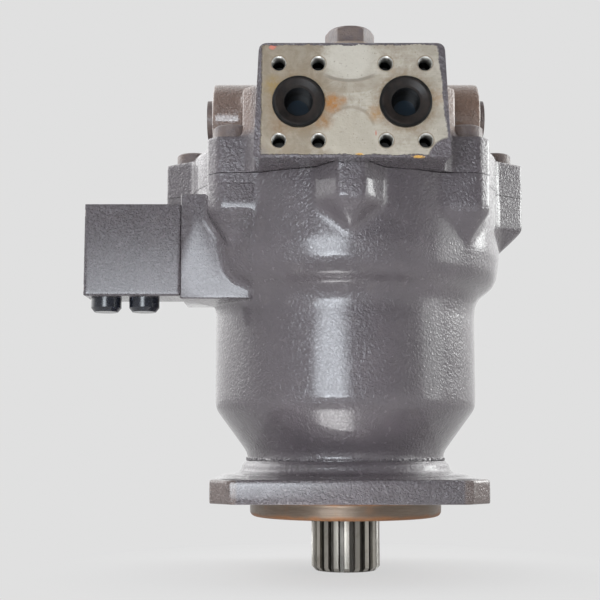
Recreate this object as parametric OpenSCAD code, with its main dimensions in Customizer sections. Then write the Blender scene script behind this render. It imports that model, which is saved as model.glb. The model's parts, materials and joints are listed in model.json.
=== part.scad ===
// Hydraulic swing motor: axial-piston motor with a parking brake, flange and splined shaft down.
// Millimetres, +Z up, the port face looks along -Y. Z = 0 is the lower face of the mounting flange.

/* [Flange and pilot] */
// Side of the square mounting flange
flange_side = 195; // [185:1:205]
// Thickness of the mounting flange
flange_thickness = 17; // [14:0.5:22]
// Length cut off each flange corner along its sides
flange_corner_cut = 13.6; // [8:0.2:18]
// Distance between mounting holes along X and Y
flange_hole_spacing = 160; // [156:1:164]
// Diameter of a mounting hole
flange_hole_diameter = 18; // [14:0.5:20]
// Radius of the low ring on the flange top
flange_ring_radius = 91; // [86:0.5:93]
// Height of that ring above the flange
flange_ring_height = 2; // [1:0.25:3]
// Diameter of the pilot under the flange
pilot_diameter = 145; // [140:1:152]
// Height of the pilot under the flange
pilot_height = 13; // [10:0.5:16]
// Chamfer at the lower edge of the pilot
pilot_chamfer = 2.5; // [1:0.25:4]

/* [Casing] */
// Radius of the straight lower wall of the casing
casing_radius = 99.5; // [98.5:0.25:101]
// Radius of the casing foot above the flange
casing_foot_radius = 79; // [77:0.5:82]
// Radius of the waist above the foot
casing_waist_radius = 74.5; // [73:0.5:77]
// Radius of the wide upper wall of the casing
casing_upper_radius = 119; // [117:0.5:122]
// Height of the joint face between casing and cover
joint_height = 230; // [229.8:0.1:231]
// Wall of the casing behind the straight lower wall
casing_wall = 12.5; // [11.5:0.25:14]

/* [Bolt lobes] */
// Radius of the circle of cover bolts
bolt_circle_radius = 117.5; // [117:0.5:119]
// Diameter of a cover bolt
cover_bolt_diameter = 18; // [16:1:18]
// Reach of the lobes on the X and Y axes
lobe_reach = 138; // [136:0.5:142]
// Reach of the lobes between the axes
lobe_reach_diagonal = 136; // [134:0.5:138]
// Width of the flat ridge of a lobe on an axis
lobe_ridge_width = 18.4; // [16:0.2:22]
// Width of the flat ridge of a lobe between the axes
lobe_ridge_width_diagonal = 12; // [9:0.5:16]
// Angle between the ridge and the side facets of a lobe on an axis
lobe_lean = 54; // [50:1:58]
// Length of the straight part of a lobe under the joint face
lobe_straight_length = 25.5; // [22:0.5:30]
// Length of the tapered end of a lobe on an axis
lobe_taper_length = 19.5; // [16:0.5:24]
// Length of the tapered end of a lobe between the axes
lobe_taper_length_diagonal = 26; // [22:0.5:30]

/* [Valve cover] */
// Thickness of the bolted rim of the cover
cover_rim_thickness = 27; // [24:0.5:28]
// Half width of the cover body behind the port block
cover_body_half_width = 77; // [72:0.5:82]
// Height of the cover body above the joint face
cover_body_height = 69; // [66:0.5:73]
// Back of the cover body along Y
cover_body_back = 78; // [72:1:84]
// Half width of the port block at its foot
port_block_half_width = 65.4; // [63:0.2:68]
// Half width of the port block at its top
port_block_top_half_width = 62; // [60:0.5:65]
// Distance of the port face from the shaft axis
port_face_distance = 152; // [148:0.5:156]
// Depth of the foot of the port block below the joint face, in front of the casing
port_block_drop = 1.7; // [0.5:0.1:3]
// Height of the port block above the joint face
port_block_height = 76.2; // [73:0.1:78]
// Height of the flanks beside the port block above the joint face
cover_flank_height = 62; // [58:0.5:66]

/* [Ports] */
// Distance between the two port axes
port_spacing = 71; // [69:0.5:74]
// Height of the port axes above the joint face
port_rise = 36; // [34:0.5:38]
// Bore of a port
port_bore_diameter = 25.4; // [22:0.1:26]
// Upright distance of the port bolt holes
port_bolt_rows = 52.4; // [50:0.1:54]
// Level distance of the port bolt holes
port_bolt_columns = 26.2; // [25:0.1:28]
// Diameter of a port bolt hole
port_bolt_hole_diameter = 10; // [8.5:0.1:11]
// Depth of a port bolt hole
port_bolt_hole_depth = 24; // [18:1:28]
// Mouth diameter of a port bolt hole
port_bolt_mouth_diameter = 10.8; // [10:0.1:12]
// Depth of the round seat milled round each port
port_seat_depth = 1; // [0.5:0.1:2]
// Outer diameter of the shipping plug flange
port_plug_diameter = 34.6; // [31:0.2:36]
// Thickness of the shipping plug flange
port_plug_thickness = 3.4; // [2:0.2:5]
// Opening diameter of the shipping plug
port_plug_opening = 18.8; // [16:0.2:20]

/* [Relief valves] */
// Height of the relief valve axes above the joint face
relief_rise = 57; // [56:0.5:59]
// Offset of the relief valve axes along Y
relief_offset = -30; // [-34:0.5:-26]
// Radius of a relief valve boss
relief_boss_radius = 27; // [25:0.5:29]
// Distance of the boss ends from the shaft axis
relief_boss_reach = 100; // [98:0.5:104]
// Radius of the relief valve bore
relief_bore_radius = 12; // [11:0.25:13]
// Radius of the plug disc on a boss
relief_disc_radius = 14.6; // [13.5:0.1:17]
// Thickness of the plug disc
relief_disc_thickness = 4.6; // [3:0.2:6]
// Opening travel of a relief poppet
relief_travel = 1.5; // [1:0.1:2]

/* [Drive shaft] */
// Outer diameter of the output spline
spline_diameter = 51.5; // [48:0.5:52.5]
// Teeth of the output spline
spline_teeth = 20; // [16:1:24]
// Depth of the spline grooves
spline_depth = 3.2; // [2.4:0.2:4]
// Reach of the shaft below the flange
shaft_reach = 53; // [46:0.5:60]
// Diameter of the front bearing journal
front_journal_diameter = 55; // [54:0.5:56]
// Diameter of the shaft inside the cylinder block
block_journal_diameter = 50; // [48:0.5:51]
// Diameter of the rear bearing journal
rear_journal_diameter = 40; // [38:0.5:41]

/* [Rotating group] */
// Tilt of the swash plate
swash_angle = 16; // [12:0.5:17]
// Number of pistons
piston_count = 9; // [9:1:9]
// Radius of the circle of cylinder bores
piston_circle_radius = 50; // [49:0.25:51]
// Diameter of a piston
piston_diameter = 25; // [23:0.25:26]
// Height of the centre about which the swash plate tilts
swash_centre_height = 82; // [81:0.25:83]
// Radius of a piston ball
piston_ball_radius = 9.5; // [9:0.1:9.8]
// Radius of a shoe sole
shoe_radius = 15.5; // [15:0.1:16]
// Radius of a shoe neck
shoe_neck_radius = 12.2; // [11.8:0.1:12.4]
// Radius of the cylinder block
block_radius = 70.5; // [70:0.25:71]
// Radius of the ball guide
guide_radius = 32; // [31.5:0.25:32.5]

/* [Brake] */
// Friction plates in the brake pack
friction_plate_count = 3; // [2:1:3]
// Thickness of each brake plate
brake_plate_thickness = 3; // [2.6:0.1:3]
// Lift of the brake piston when released
brake_lift = 2; // [1:0.25:3]
// Number of brake springs
brake_spring_count = 10; // [8:1:12]
// Free gap between moving bodies
running_gap = 0.3; // [0.25:0.01:0.32]

/* [Brake valve] */
// Left end of the brake valve block along X
valve_block_left = -189; // [-194:0.5:-184]
// Face between valve block and casing pad along X
valve_block_joint = -120; // [-123:0.5:-119]
// Front of the valve block along Y
valve_block_front = -77; // [-79:0.5:-75]
// Depth of the valve block
valve_block_depth = 38; // [36:0.5:42]
// Underside of the valve block
valve_block_bottom = 146; // [144:0.5:148]
// Top of the valve block
valve_block_top = 212.6; // [210:0.2:215]
// End of the casing pad towards the shaft axis along X
valve_pad_end = -67.5; // [-69:0.5:-64]
// Radius of the upright edge at that end of the pad
valve_pad_edge = 4; // [2:0.5:5]
// Lift of the brake valve spool
spool_travel = 5; // [3:0.5:6]

/* [Hidden] */
$fn = 64;
little = 0.01;
flange_half = flange_side / 2;
pilot_radius = pilot_diameter / 2;
lobe_taper_height = joint_height - lobe_straight_length;
rim_top = joint_height + cover_rim_thickness;
cover_body_top = joint_height + cover_body_height;
cover_flank_top = joint_height + cover_flank_height;
port_block_foot = joint_height - port_block_drop;
port_block_top = joint_height + port_block_height;
port_height = joint_height + port_rise;
relief_height = joint_height + relief_rise;
port_face = -port_face_distance;
port_x = port_spacing / 2;
port_bore_radius = port_bore_diameter / 2;
port_seat_clearance = 0.3;
cover_bolt_radius = cover_bolt_diameter / 2;
cover_bolt_head_radius = cover_bolt_diameter * 0.75;
cover_bolt_head_height = cover_bolt_diameter - 1;
cover_bolt_seat = rim_top - 8;
cover_bolt_clearance = 0.6;
front_seat_height = 4.5;

// Stations along the shaft
seal_carrier_bottom = -9;
front_bearing_bottom = 7;
front_bearing_top = 32;
block_bottom = 110;
block_top = joint_height - 8;
valve_plate_bottom = block_top + running_gap;
rear_bearing_bottom = joint_height + 2;
rear_bearing_top = joint_height + 17;
spring_pocket_top = 148;

// Tilted plane of the piston shoes, distances along its own normal from the ball centres
shoe_sole = -12;
shoe_sole_top = -8.5;
shoe_lip = 4.5;
swash_plate_top = shoe_sole - 0.25;
swash_plate_thickness = 5;
swash_plate_radius = piston_circle_radius / cos(swash_angle) + shoe_radius + 1;
swash_plate_hole = 34.3;
retainer_bottom = shoe_sole_top + 0.25;
retainer_thickness = 3;
circle_a = piston_circle_radius * (1 / cos(swash_angle) + 1) / 2;
circle_b = piston_circle_radius * (1 / cos(swash_angle) - 1) / 2;
retainer_hole_radius = shoe_neck_radius + circle_b + running_gap;
retainer_radius = circle_a + shoe_radius + 1;
piston_radius = piston_diameter / 2;
piston_clearance = 0.25;
piston_length = 104;

// Bores of the casing
bearing_bore = 50;
floor_bore = 35;
lower_bore = casing_radius - casing_wall;
plate_bore = 89;
lug_radius = 94.7;
small_brake_bore = 95.3;
large_brake_bore = 101.3;
plate_stack_bottom = 148;
plate_pitch = brake_plate_thickness + running_gap;
plate_stack_top = plate_stack_bottom + (2 * friction_plate_count + 1) * plate_pitch;
brake_step = 184;
brake_piston_top = 202;
brake_spring_floor = 190;
brake_spring_circle = 87;

// Bearings
front_inner_track = 33.65;
front_outer_track = 43.35;
front_pitch = (front_inner_track + front_outer_track) / 2;
front_roller = (front_outer_track - front_inner_track) / 2 - 0.15;
rear_inner_track = 24.05;
rear_outer_track = 29.95;
rear_outer_radius = 34;
rear_pitch = (rear_inner_track + rear_outer_track) / 2;
rear_roller = (rear_outer_track - rear_inner_track) / 2 - 0.15;

// Everything that follows the swash tilt is drawn with the tilt along X and turned here
module group() {
  rotate([0, 0, 90]) children();
}

module tilted() {
  group() translate([0, 0, swash_centre_height]) rotate([0, -swash_angle, 0]) children();
}

module ring(outer, inner, height) {
  difference() {
    cylinder(r = outer, h = height);
    translate([0, 0, -1]) cylinder(r = inner, h = height + 2);
  }
}

module on_circle(count, radius, start = 0) {
  for (i = [0 : count - 1]) rotate([0, 0, start + i * 360 / count]) translate([radius, 0, 0]) children();
}

module lying_x(radius, x1, x2) {
  translate([min(x1, x2), 0, 0]) rotate([0, 90, 0]) cylinder(r = radius, h = abs(x2 - x1));
}

module lying_y(radius, y1, y2) {
  translate([0, max(y1, y2), 0]) rotate([90, 0, 0]) cylinder(r = radius, h = abs(y2 - y1));
}

// Toothed outline of a spline: straight flanks between a root and a tip circle
function tooth_points(count, root, tip, root_part, tip_part) = [
  for (i = [0 : count - 1]) for (k = [0 : 3])
    let (step = 360 / count, half_root = step * root_part / 2, half_tip = step * tip_part / 2,
         turn = i * step + (k == 0 ? -half_root : k == 1 ? -half_tip : k == 2 ? half_tip : half_root),
         reach = (k == 0 || k == 3) ? root : tip)
      [reach * cos(turn), reach * sin(turn)]
];

module spline_outline(count, root, tip, spread = 0) {
  intersection() {
    circle(r = tip);
    union() {
      circle(r = root);
      polygon(tooth_points(count, root - 0.2, tip + 0.6, 0.62 + spread, 0.42 + spread));
    }
  }
}

// Coil spring with closed end turns, standing on Z = 0
function coil_height(u, turns, wire, length) =
  let (pitch_end = 2.04 * wire, dead = 0.9, live = turns - 2 * dead,
       live_pitch = (length - 2 * wire - 2 * dead * pitch_end) / live)
    wire + (u < dead ? u * pitch_end :
      u < turns - dead ? dead * pitch_end + (u - dead) * live_pitch :
      dead * pitch_end + live * live_pitch + (u - turns + dead) * pitch_end);

module coil(mean, wire, length, turns, steps, sides) {
  rings = turns * steps;
  points = [
    for (i = [0 : rings]) for (k = [0 : sides - 1])
      let (turn = 360 * i / steps, tilt = 360 * k / sides,
           reach = mean + wire * cos(tilt))
        [reach * cos(turn), reach * sin(turn),
         coil_height(i / steps, turns, wire, length) + wire * sin(tilt)]
  ];
  faces = concat(
    [[for (k = [0 : sides - 1]) k]],
    [for (i = [0 : rings - 1]) for (k = [0 : sides - 1])
      [i * sides + k, (i + 1) * sides + k, (i + 1) * sides + (k + 1) % sides]],
    [for (i = [0 : rings - 1]) for (k = [0 : sides - 1])
      [i * sides + k, (i + 1) * sides + (k + 1) % sides, i * sides + (k + 1) % sides]],
    [[for (k = [sides - 1 : -1 : 0]) rings * sides + k]]
  );
  polyhedron(points = points, faces = faces, convexity = 8);
}

// Plan of one bolt lobe along X: a flat ridge with a facet at each side that runs into the round wall
module lobe_plan(reach, ridge, lean) {
  inner = casing_upper_radius - 11;
  root = ridge / 2 + (reach - inner) / tan(lean);
  polygon([
    [inner - 16, -root], [inner, -root], [reach, -ridge / 2],
    [reach, ridge / 2], [inner, root], [inner - 16, root]
  ]);
}

module lobe_plans() {
  for (turn = [0 : 90 : 270]) rotate(turn) lobe_plan(lobe_reach, lobe_ridge_width, lobe_lean);
  for (turn = [45 : 90 : 315]) rotate(turn) lobe_plan(lobe_reach_diagonal, lobe_ridge_width_diagonal, 45);
}

// Lobe with its lower end tapered to a point on the round wall by three sloping faces
module casing_lobe(reach, ridge, lean, length) {
  apex = casing_upper_radius - 1;
  base = lobe_taper_height - length;
  facet_depth = (reach - apex) * cos(lean) + ridge / 2 * sin(lean);
  difference() {
    translate([0, 0, base]) linear_extrude(joint_height + 1 - base) lobe_plan(reach, ridge, lean);
    for (side = [-1, 0, 1]) translate([apex, 0, base]) rotate([0, 0, side * lean])
      rotate([0, -atan2(length, side == 0 ? reach - apex : facet_depth), 0])
        translate([-150, -150, -150]) cube([300, 300, 150]);
  }
}

module rim_outline() {
  circle(r = casing_upper_radius);
  lobe_plans();
}

module flange_outline() {
  e = flange_half;
  c = flange_half - flange_corner_cut;
  polygon([[e, -c], [e, c], [c, e], [-c, e], [-e, c], [-e, -c], [-c, -e], [c, -e]]);
}

module casing_outside() {
  linear_extrude(flange_thickness) flange_outline();
  cylinder(r = flange_ring_radius, h = flange_thickness + flange_ring_height);
  rotate_extrude() polygon([
    [0, -pilot_height], [pilot_radius - pilot_chamfer, -pilot_height],
    [pilot_radius, -pilot_height + pilot_chamfer], [pilot_radius, 0],
    [casing_foot_radius, little], [casing_foot_radius, 26], [casing_foot_radius - 2.5, 27.9],
    [casing_waist_radius - 0.8, 28.7], [casing_waist_radius, 30],
    [casing_waist_radius + 0.3, 34], [casing_waist_radius + 2.6, 38],
    [casing_radius - 2.2, 65.5], [casing_radius - 0.5, 69], [casing_radius, 74],
    [casing_radius, 138], [casing_radius + 1.2, 146], [casing_radius + 4.4, 152],
    [casing_upper_radius - 6, 159], [casing_upper_radius - 2.2, 165],
    [casing_upper_radius, 180], [casing_upper_radius, joint_height + 1], [0, joint_height + 1]
  ]);
  for (turn = [0 : 90 : 270]) rotate([0, 0, turn])
    casing_lobe(lobe_reach, lobe_ridge_width, lobe_lean, lobe_taper_length);
  for (turn = [45 : 90 : 315]) rotate([0, 0, turn])
    casing_lobe(lobe_reach_diagonal, lobe_ridge_width_diagonal, 45, lobe_taper_length_diagonal);
  // Pad that carries the brake valve block
  translate([0, 0, valve_block_bottom - 1.8])
    linear_extrude(valve_block_top + 9.1 - valve_block_bottom) valve_pad_outline();
  // Bosses of the drain ports on the back
  for (turn = [67.5, 112.5]) rotate([0, 0, turn]) translate([0, 0, 206])
    lying_x(17, 100, casing_upper_radius + 6);
}

// Plan of the pad: its front end rounds back into the round wall
module valve_pad_outline() {
  front = valve_block_front + 0.5;
  translate([valve_block_joint, front]) square([valve_pad_end - valve_pad_edge - valve_block_joint, 57]);
  translate([valve_block_joint, front + valve_pad_edge])
    square([valve_pad_end - valve_block_joint, 57 - valve_pad_edge]);
  translate([valve_pad_end - valve_pad_edge, front + valve_pad_edge]) circle(r = valve_pad_edge);
}

// Inner space of the casing above the sloping floor
module casing_cavity() {
  intersection() {
    rotate_extrude() polygon([
      [0, 34], [60, 34], [67, 42], [lower_bore, 70], [lower_bore, plate_stack_bottom],
      [plate_bore, plate_stack_bottom], [plate_bore, plate_stack_top],
      [small_brake_bore, plate_stack_top], [small_brake_bore, brake_step],
      [large_brake_bore, brake_step], [large_brake_bore, joint_height + 3], [0, joint_height + 3]
    ]);
    tilted() translate([-200, -200, swash_plate_top - swash_plate_thickness]) cube([400, 400, 400]);
  }
  // Grooves that hold the lugs of the separator plates
  translate([0, 0, plate_stack_bottom]) for (turn = [22.5 : 45 : 337.5]) rotate([0, 0, turn])
    translate([80, -7, 0]) cube([lug_radius + 0.3 - 80, 14, plate_stack_top - plate_stack_bottom + 1]);
}

module casing() {
  color("dimgray") difference() {
    casing_outside();
    translate([-200, -200, joint_height]) cube([400, 400, 20]);
    casing_cavity();
    // Opening for the shaft and the front bearing
    translate([0, 0, -pilot_height - 1]) cylinder(r = bearing_bore, h = pilot_height + 1 + front_bearing_top);
    translate([0, 0, 20]) cylinder(r = floor_bore, h = 60);
    translate([0, 0, seal_carrier_bottom - 2.2]) cylinder(r = bearing_bore + 2, h = 2.2);
    // Mounting holes of the flange
    for (sx = [-1, 1]) for (sy = [-1, 1])
      translate([sx * flange_hole_spacing / 2, sy * flange_hole_spacing / 2, -1])
        cylinder(d = flange_hole_diameter, h = flange_thickness + 2);
    // Threaded holes of the cover bolts
    translate([0, 0, joint_height - 34]) on_circle(8, bolt_circle_radius)
      cylinder(r = cover_bolt_radius, h = 40);
    // Passage from the brake valve to the brake piston
    translate([0, valve_block_front + 19, brake_step + 0.5]) lying_x(2.5, valve_block_joint - 1, -84);
    // Screw holes of the brake valve block
    for (dy = [5.5, 32.5]) for (dz = [6, 60])
      translate([0, valve_block_front + dy, valve_block_bottom + dz])
        lying_x(3, valve_block_joint - 1, valve_block_joint + 12);
    // Drain ports on the back
    for (turn = [67.5, 112.5]) rotate([0, 0, turn]) translate([0, 0, 206])
      lying_x(8, 98, casing_upper_radius + 8);
    // Seat of the swash plate pin
    tilted() translate([0, swash_plate_radius - 6, swash_plate_top - swash_plate_thickness - 6])
      cylinder(r = 3, h = 8);
  }
}

// Port block with drafted sides, its foot hanging in front of the casing lobe
module port_block() {
  difference() {
    translate([0, -20, 0]) rotate([90, 0, 0]) linear_extrude(port_face_distance - 20) polygon([
      [-port_block_half_width, port_block_foot], [port_block_half_width, port_block_foot],
      [port_block_top_half_width, port_block_top - 4],
      [port_block_top_half_width - 1.2, port_block_top - 1.2],
      [port_block_top_half_width - 4, port_block_top],
      [-port_block_top_half_width + 4, port_block_top],
      [-port_block_top_half_width + 1.2, port_block_top - 1.2],
      [-port_block_top_half_width, port_block_top - 4]
    ]);
    translate([-100, -lobe_reach - 2.5, joint_height - 20]) cube([200, lobe_reach, 20.5]);
  }
}

// Body of the cover without its passages
module cover_outside() {
  translate([0, 0, joint_height]) linear_extrude(cover_rim_thickness) rim_outline();
  // Spigot that centres the cover in the casing
  translate([0, 0, joint_height - 7]) ring(large_brake_bore - 0.1, 95.5, 8);
  // Body behind the port block
  translate([-cover_body_half_width, -70, rim_top - 1])
    cube([2 * cover_body_half_width, 70 + cover_body_back, cover_body_top - rim_top + 1]);
  port_block();
  // Flanks that widen the port block into the cover body
  translate([0, 0, joint_height]) linear_extrude(cover_flank_top - joint_height) polygon([
    [-port_block_half_width + 8, -114], [-port_block_half_width + 1.6, -108.5],
    [-cover_body_half_width + 1, -97], [-cover_body_half_width, -94], [-cover_body_half_width, -60],
    [cover_body_half_width, -60], [cover_body_half_width, -94], [cover_body_half_width - 1, -97],
    [port_block_half_width - 1.6, -108.5], [port_block_half_width - 8, -114]
  ]);
  // Raised seat of the long bolt on the port block
  translate([0, -bolt_circle_radius, port_block_top - 1]) cylinder(r = 19, h = 1 + front_seat_height);
  // Bosses of the relief valves
  translate([0, relief_offset, relief_height])
    lying_x(relief_boss_radius, -relief_boss_reach, relief_boss_reach);
  translate([-relief_boss_reach + 6, relief_offset - 20, rim_top - 1])
    cube([2 * relief_boss_reach - 12, 40, relief_height - rim_top + 1]);
}

// Slot along an arc about the shaft axis, with rounded ends
module kidney(radius, half_width, half_angle, height) {
  intersection() {
    ring(radius + half_width, radius - half_width, height);
    translate([0, 0, -1]) linear_extrude(height + 2)
      polygon([[0, 0], [120 * cos(half_angle), -120 * sin(half_angle)], [130, -120 * sin(half_angle)],
        [130, 120 * sin(half_angle)], [120 * cos(half_angle), 120 * sin(half_angle)]]);
  }
  for (turn = [-half_angle, half_angle]) rotate([0, 0, turn]) translate([radius, 0, 0])
    cylinder(r = half_width - 0.3, h = height);
}

module valve_cover() {
  color("dimgray") difference() {
    cover_outside();
    // Pocket of the rear bearing and the end of the shaft
    translate([0, 0, joint_height - 1])
      cylinder(r = rear_outer_radius, h = 1 + rear_bearing_top - joint_height);
    translate([0, 0, joint_height]) cylinder(r = 25, h = 19);
    // Groove of the cover seal
    translate([0, 0, joint_height - 5]) ring(large_brake_bore + 1, 98.5, 3);
    // Passages from the valve plate to the ports
    for (side = [0, 180]) rotate([0, 0, side]) {
      translate([0, 0, joint_height - 1]) kidney(piston_circle_radius, 6, 36, port_height - joint_height + 1);
      translate([0, 0, port_height]) lying_x(port_bore_radius - 1, port_x, piston_circle_radius);
    }
    for (side = [-1, 1]) translate([side * port_x, 0, port_height]) {
      lying_y(port_bore_radius, port_face - 1, 42);
      lying_y(port_plug_diameter / 2 + port_seat_clearance, port_face - 1, port_face + port_seat_depth);
      for (sx = [-1, 1]) for (sz = [-1, 1])
        translate([sx * port_bolt_columns / 2, 0, sz * port_bolt_rows / 2]) {
          lying_y(port_bolt_hole_diameter / 2, port_face - 1, port_face + port_bolt_hole_depth);
          lying_y(port_bolt_mouth_diameter / 2, port_face - 1, port_face + 0.4);
        }
    }
    // Bores of the relief valves
    for (side = [-1, 1]) translate([0, relief_offset, relief_height])
      lying_x(relief_bore_radius, side * (port_x - 3), side * (relief_boss_reach + 1));
    // Make-up gallery, its port and the check valve bores
    translate([0, 50, rim_top - 2]) lying_x(6, -port_x - 8, port_x + 8);
    translate([0, 50, rim_top - 2]) cylinder(r = 4.5, h = 18);
    translate([0, 0, rim_top + 16]) lying_y(8, 44, cover_body_back + 1);
    for (side = [-1, 1]) translate([side * port_x, 50, 0]) {
      translate([0, 0, rim_top]) cylinder(r = 6, h = 20);
      translate([0, 0, rim_top + 8]) cylinder(r = 11, h = 60);
    }
    // Holes and spot faces of the cover bolts
    for (turn = [0 : 45 : 225]) rotate([0, 0, turn]) bolt_seat();
    rotate([0, 0, 315]) bolt_seat();
    translate([0, -bolt_circle_radius, joint_height - 1])
      cylinder(r = cover_bolt_radius + cover_bolt_clearance, h = 100);
    // Seats of the valve plate pin
    rotate([0, 0, 90]) translate([60, 0, joint_height - 1]) cylinder(r = 2.5, h = 7);
  }
}

module bolt_seat() {
  translate([bolt_circle_radius, 0, joint_height - 1])
    cylinder(r = cover_bolt_radius + cover_bolt_clearance, h = 60);
  translate([bolt_circle_radius, 0, cover_bolt_seat]) cylinder(r = cover_bolt_head_radius + 2, h = 60);
}

// Socket head bolt, its head seat at Z = 0
module socket_bolt(radius, head_radius, head_height, length, key) {
  difference() {
    union() {
      translate([0, 0, -length]) cylinder(r = radius, h = length + 1);
      cylinder(r = head_radius, h = head_height - 1);
      translate([0, 0, head_height - 1]) cylinder(r1 = head_radius, r2 = head_radius - 1, h = 1);
    }
    translate([0, 0, head_height / 2]) cylinder(r = key / 2 / cos(30), h = head_height, $fn = 6);
  }
}

module cover_bolts() {
  color("dimgray") {
    for (turn = [0, 45, 90, 135, 180, 225, 315]) rotate([0, 0, turn])
      translate([bolt_circle_radius, 0, cover_bolt_seat])
        socket_bolt(cover_bolt_radius, cover_bolt_head_radius, cover_bolt_head_height,
          cover_bolt_seat - joint_height + 28, 14);
  }
}

module front_cover_bolt() {
  color("dimgray") translate([0, -bolt_circle_radius, port_block_top + front_seat_height]) {
    translate([0, 0, -port_block_top - front_seat_height + joint_height - 30])
      cylinder(r = cover_bolt_radius - 0.05, h = port_block_top + front_seat_height - joint_height + 31);
    cylinder(r = 17.6, h = 2.6);
    translate([0, 0, 2.6]) cylinder(r1 = 17.6, r2 = 15, h = 1.2);
    intersection() {
      cylinder(r = 30 / 2 / cos(30), h = 15, $fn = 6);
      cylinder(r1 = 17.3 + 12.6, r2 = 17.3 - 3, h = 15.01);
    }
  }
}

module cover_o_ring() {
  color("black") translate([0, 0, joint_height - 3.5]) rotate_extrude() translate([99.9, 0]) circle(r = 1.35);
}

module bearing_outer(outer, track, height) {
  difference() {
    cylinder(r = outer, h = height);
    translate([0, 0, height / 2 - 0.36 * height]) cylinder(r = track, h = 0.72 * height);
    translate([0, 0, -1]) cylinder(r = track - 2, h = height + 2);
  }
}

module front_bearing_outer_ring() {
  color("silver") translate([0, 0, front_bearing_bottom])
    bearing_outer(bearing_bore, front_outer_track, front_bearing_top - front_bearing_bottom);
}

module rear_bearing_outer_ring() {
  color("silver") translate([0, 0, rear_bearing_bottom])
    bearing_outer(rear_outer_radius, rear_outer_track, rear_bearing_top - rear_bearing_bottom);
}

module seal_carrier() {
  color("gray") translate([0, 0, seal_carrier_bottom]) difference() {
    cylinder(r = bearing_bore, h = front_bearing_bottom - seal_carrier_bottom);
    translate([0, 0, -1]) cylinder(r = 37.5, h = 12);
    translate([0, 0, -1]) cylinder(r = 33, h = 30);
  }
}

module shaft_seal() {
  color("black") rotate_extrude() polygon([
    [37.5, seal_carrier_bottom + 1], [37.5, seal_carrier_bottom + 10], [34, seal_carrier_bottom + 10],
    [34, seal_carrier_bottom + 4.4], [30.2, seal_carrier_bottom + 4.4], [28.9, seal_carrier_bottom + 8.4],
    [27.4, seal_carrier_bottom + 6.6], [29, seal_carrier_bottom + 3.4], [27.5, seal_carrier_bottom + 1]
  ]);
}

module seal_snap_ring() {
  color("gray") translate([0, 0, seal_carrier_bottom - 2]) difference() {
    ring(bearing_bore + 1.8, bearing_bore - 4, 2);
    translate([0, -5, -1]) cube([80, 10, 4]);
  }
}

module swash_plate() {
  color("silver") tilted() difference() {
    translate([0, 0, swash_plate_top - swash_plate_thickness])
      ring(swash_plate_radius, swash_plate_hole, swash_plate_thickness);
    translate([0, swash_plate_radius - 6, swash_plate_top - swash_plate_thickness - 1])
      cylinder(r = 3, h = 4);
  }
}

module valve_plate() {
  color("silver") difference() {
    translate([0, 0, valve_plate_bottom]) ring(64, 28, joint_height - valve_plate_bottom);
    for (side = [0, 180]) rotate([0, 0, side]) translate([0, 0, valve_plate_bottom - 1])
      kidney(piston_circle_radius, 5, 60, 12);
    rotate([0, 0, 90]) translate([60, 0, joint_height - 5]) cylinder(r = 2.5, h = 7);
  }
}

module locating_pins() {
  color("silver") {
    rotate([0, 0, 90]) translate([60, 0, joint_height - 4.8]) cylinder(r = 2.5, h = 10.6);
    tilted() translate([0, swash_plate_radius - 6, swash_plate_top - swash_plate_thickness - 5.8])
      cylinder(r = 3, h = 8.6);
  }
}

module separator_plates() {
  color("gray") for (i = [0 : friction_plate_count])
    translate([0, 0, plate_stack_bottom + 2 * i * plate_pitch]) linear_extrude(brake_plate_thickness)
      difference() {
        union() {
          circle(r = plate_bore - 0.3);
          for (turn = [22.5 : 45 : 337.5]) rotate(turn)
            translate([80, -6.8]) square([lug_radius - 80, 13.6]);
        }
        circle(r = 74);
      }
}

module friction_plates() {
  color("gray") for (i = [0 : friction_plate_count - 1])
    translate([0, 0, plate_stack_bottom + (2 * i + 1) * plate_pitch]) {
      ring(plate_bore - 1.5, block_radius + 0.4, brake_plate_thickness);
      for (turn = [0 : 30 : 330]) rotate([0, 0, turn])
        translate([block_radius - 4, -3.7, 0]) cube([6, 7.4, brake_plate_thickness]);
    }
}

module relief_cartridges() {
  for (side = [0, 180]) color("silver") translate([0, relief_offset, relief_height]) rotate([0, 0, side])
    difference() {
      union() {
        lying_x(relief_disc_radius, relief_boss_reach, relief_boss_reach + relief_disc_thickness);
        lying_x(relief_bore_radius, 78, relief_boss_reach + 1);
        lying_x(relief_bore_radius - 1.2, 46, 79);
        lying_x(relief_bore_radius, 46, 54);
      }
      lying_x(4.5, 45, 53);
      lying_x(7.2, 52, 93);
      translate([relief_boss_reach + relief_disc_thickness - 3, 0, 0]) rotate([0, 90, 0])
        cylinder(r = 5.8, h = 5, $fn = 6);
    }
}

module relief_poppet() {
  color("silver") translate([0, relief_offset, relief_height]) rotate([0, 90, 0]) {
    translate([0, 0, 52.3]) cylinder(r = 6.9, h = 9);
    translate([0, 0, 49.4]) cylinder(r1 = 2, r2 = 4.2, h = 3);
    translate([0, 0, 61]) cylinder(r = 3.6, h = 10);
  }
}

module relief_spring() {
  color("silver") translate([0, relief_offset, relief_height]) rotate([0, 90, 0]) translate([0, 0, 61.3])
    coil(5.3, 1.2, 93 - relief_travel - 0.3 - 61.3, 7, 12, 5);
}

module relief_poppet_right() {
  relief_poppet();
}

module relief_poppet_left() {
  mirror([1, 0, 0]) relief_poppet();
}

module relief_spring_right() {
  relief_spring();
}

module relief_spring_left() {
  mirror([1, 0, 0]) relief_spring();
}

module check_valve_plugs() {
  color("silver") for (side = [-1, 1]) translate([side * port_x, 50, 0]) difference() {
    union() {
      translate([0, 0, rim_top + 28]) cylinder(r = 11, h = cover_body_top - rim_top - 28);
      translate([0, 0, cover_body_top]) cylinder(r = 14, h = 3.5);
    }
    translate([0, 0, cover_body_top - 4]) cylinder(r = 6, h = 9, $fn = 6);
  }
}

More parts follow.
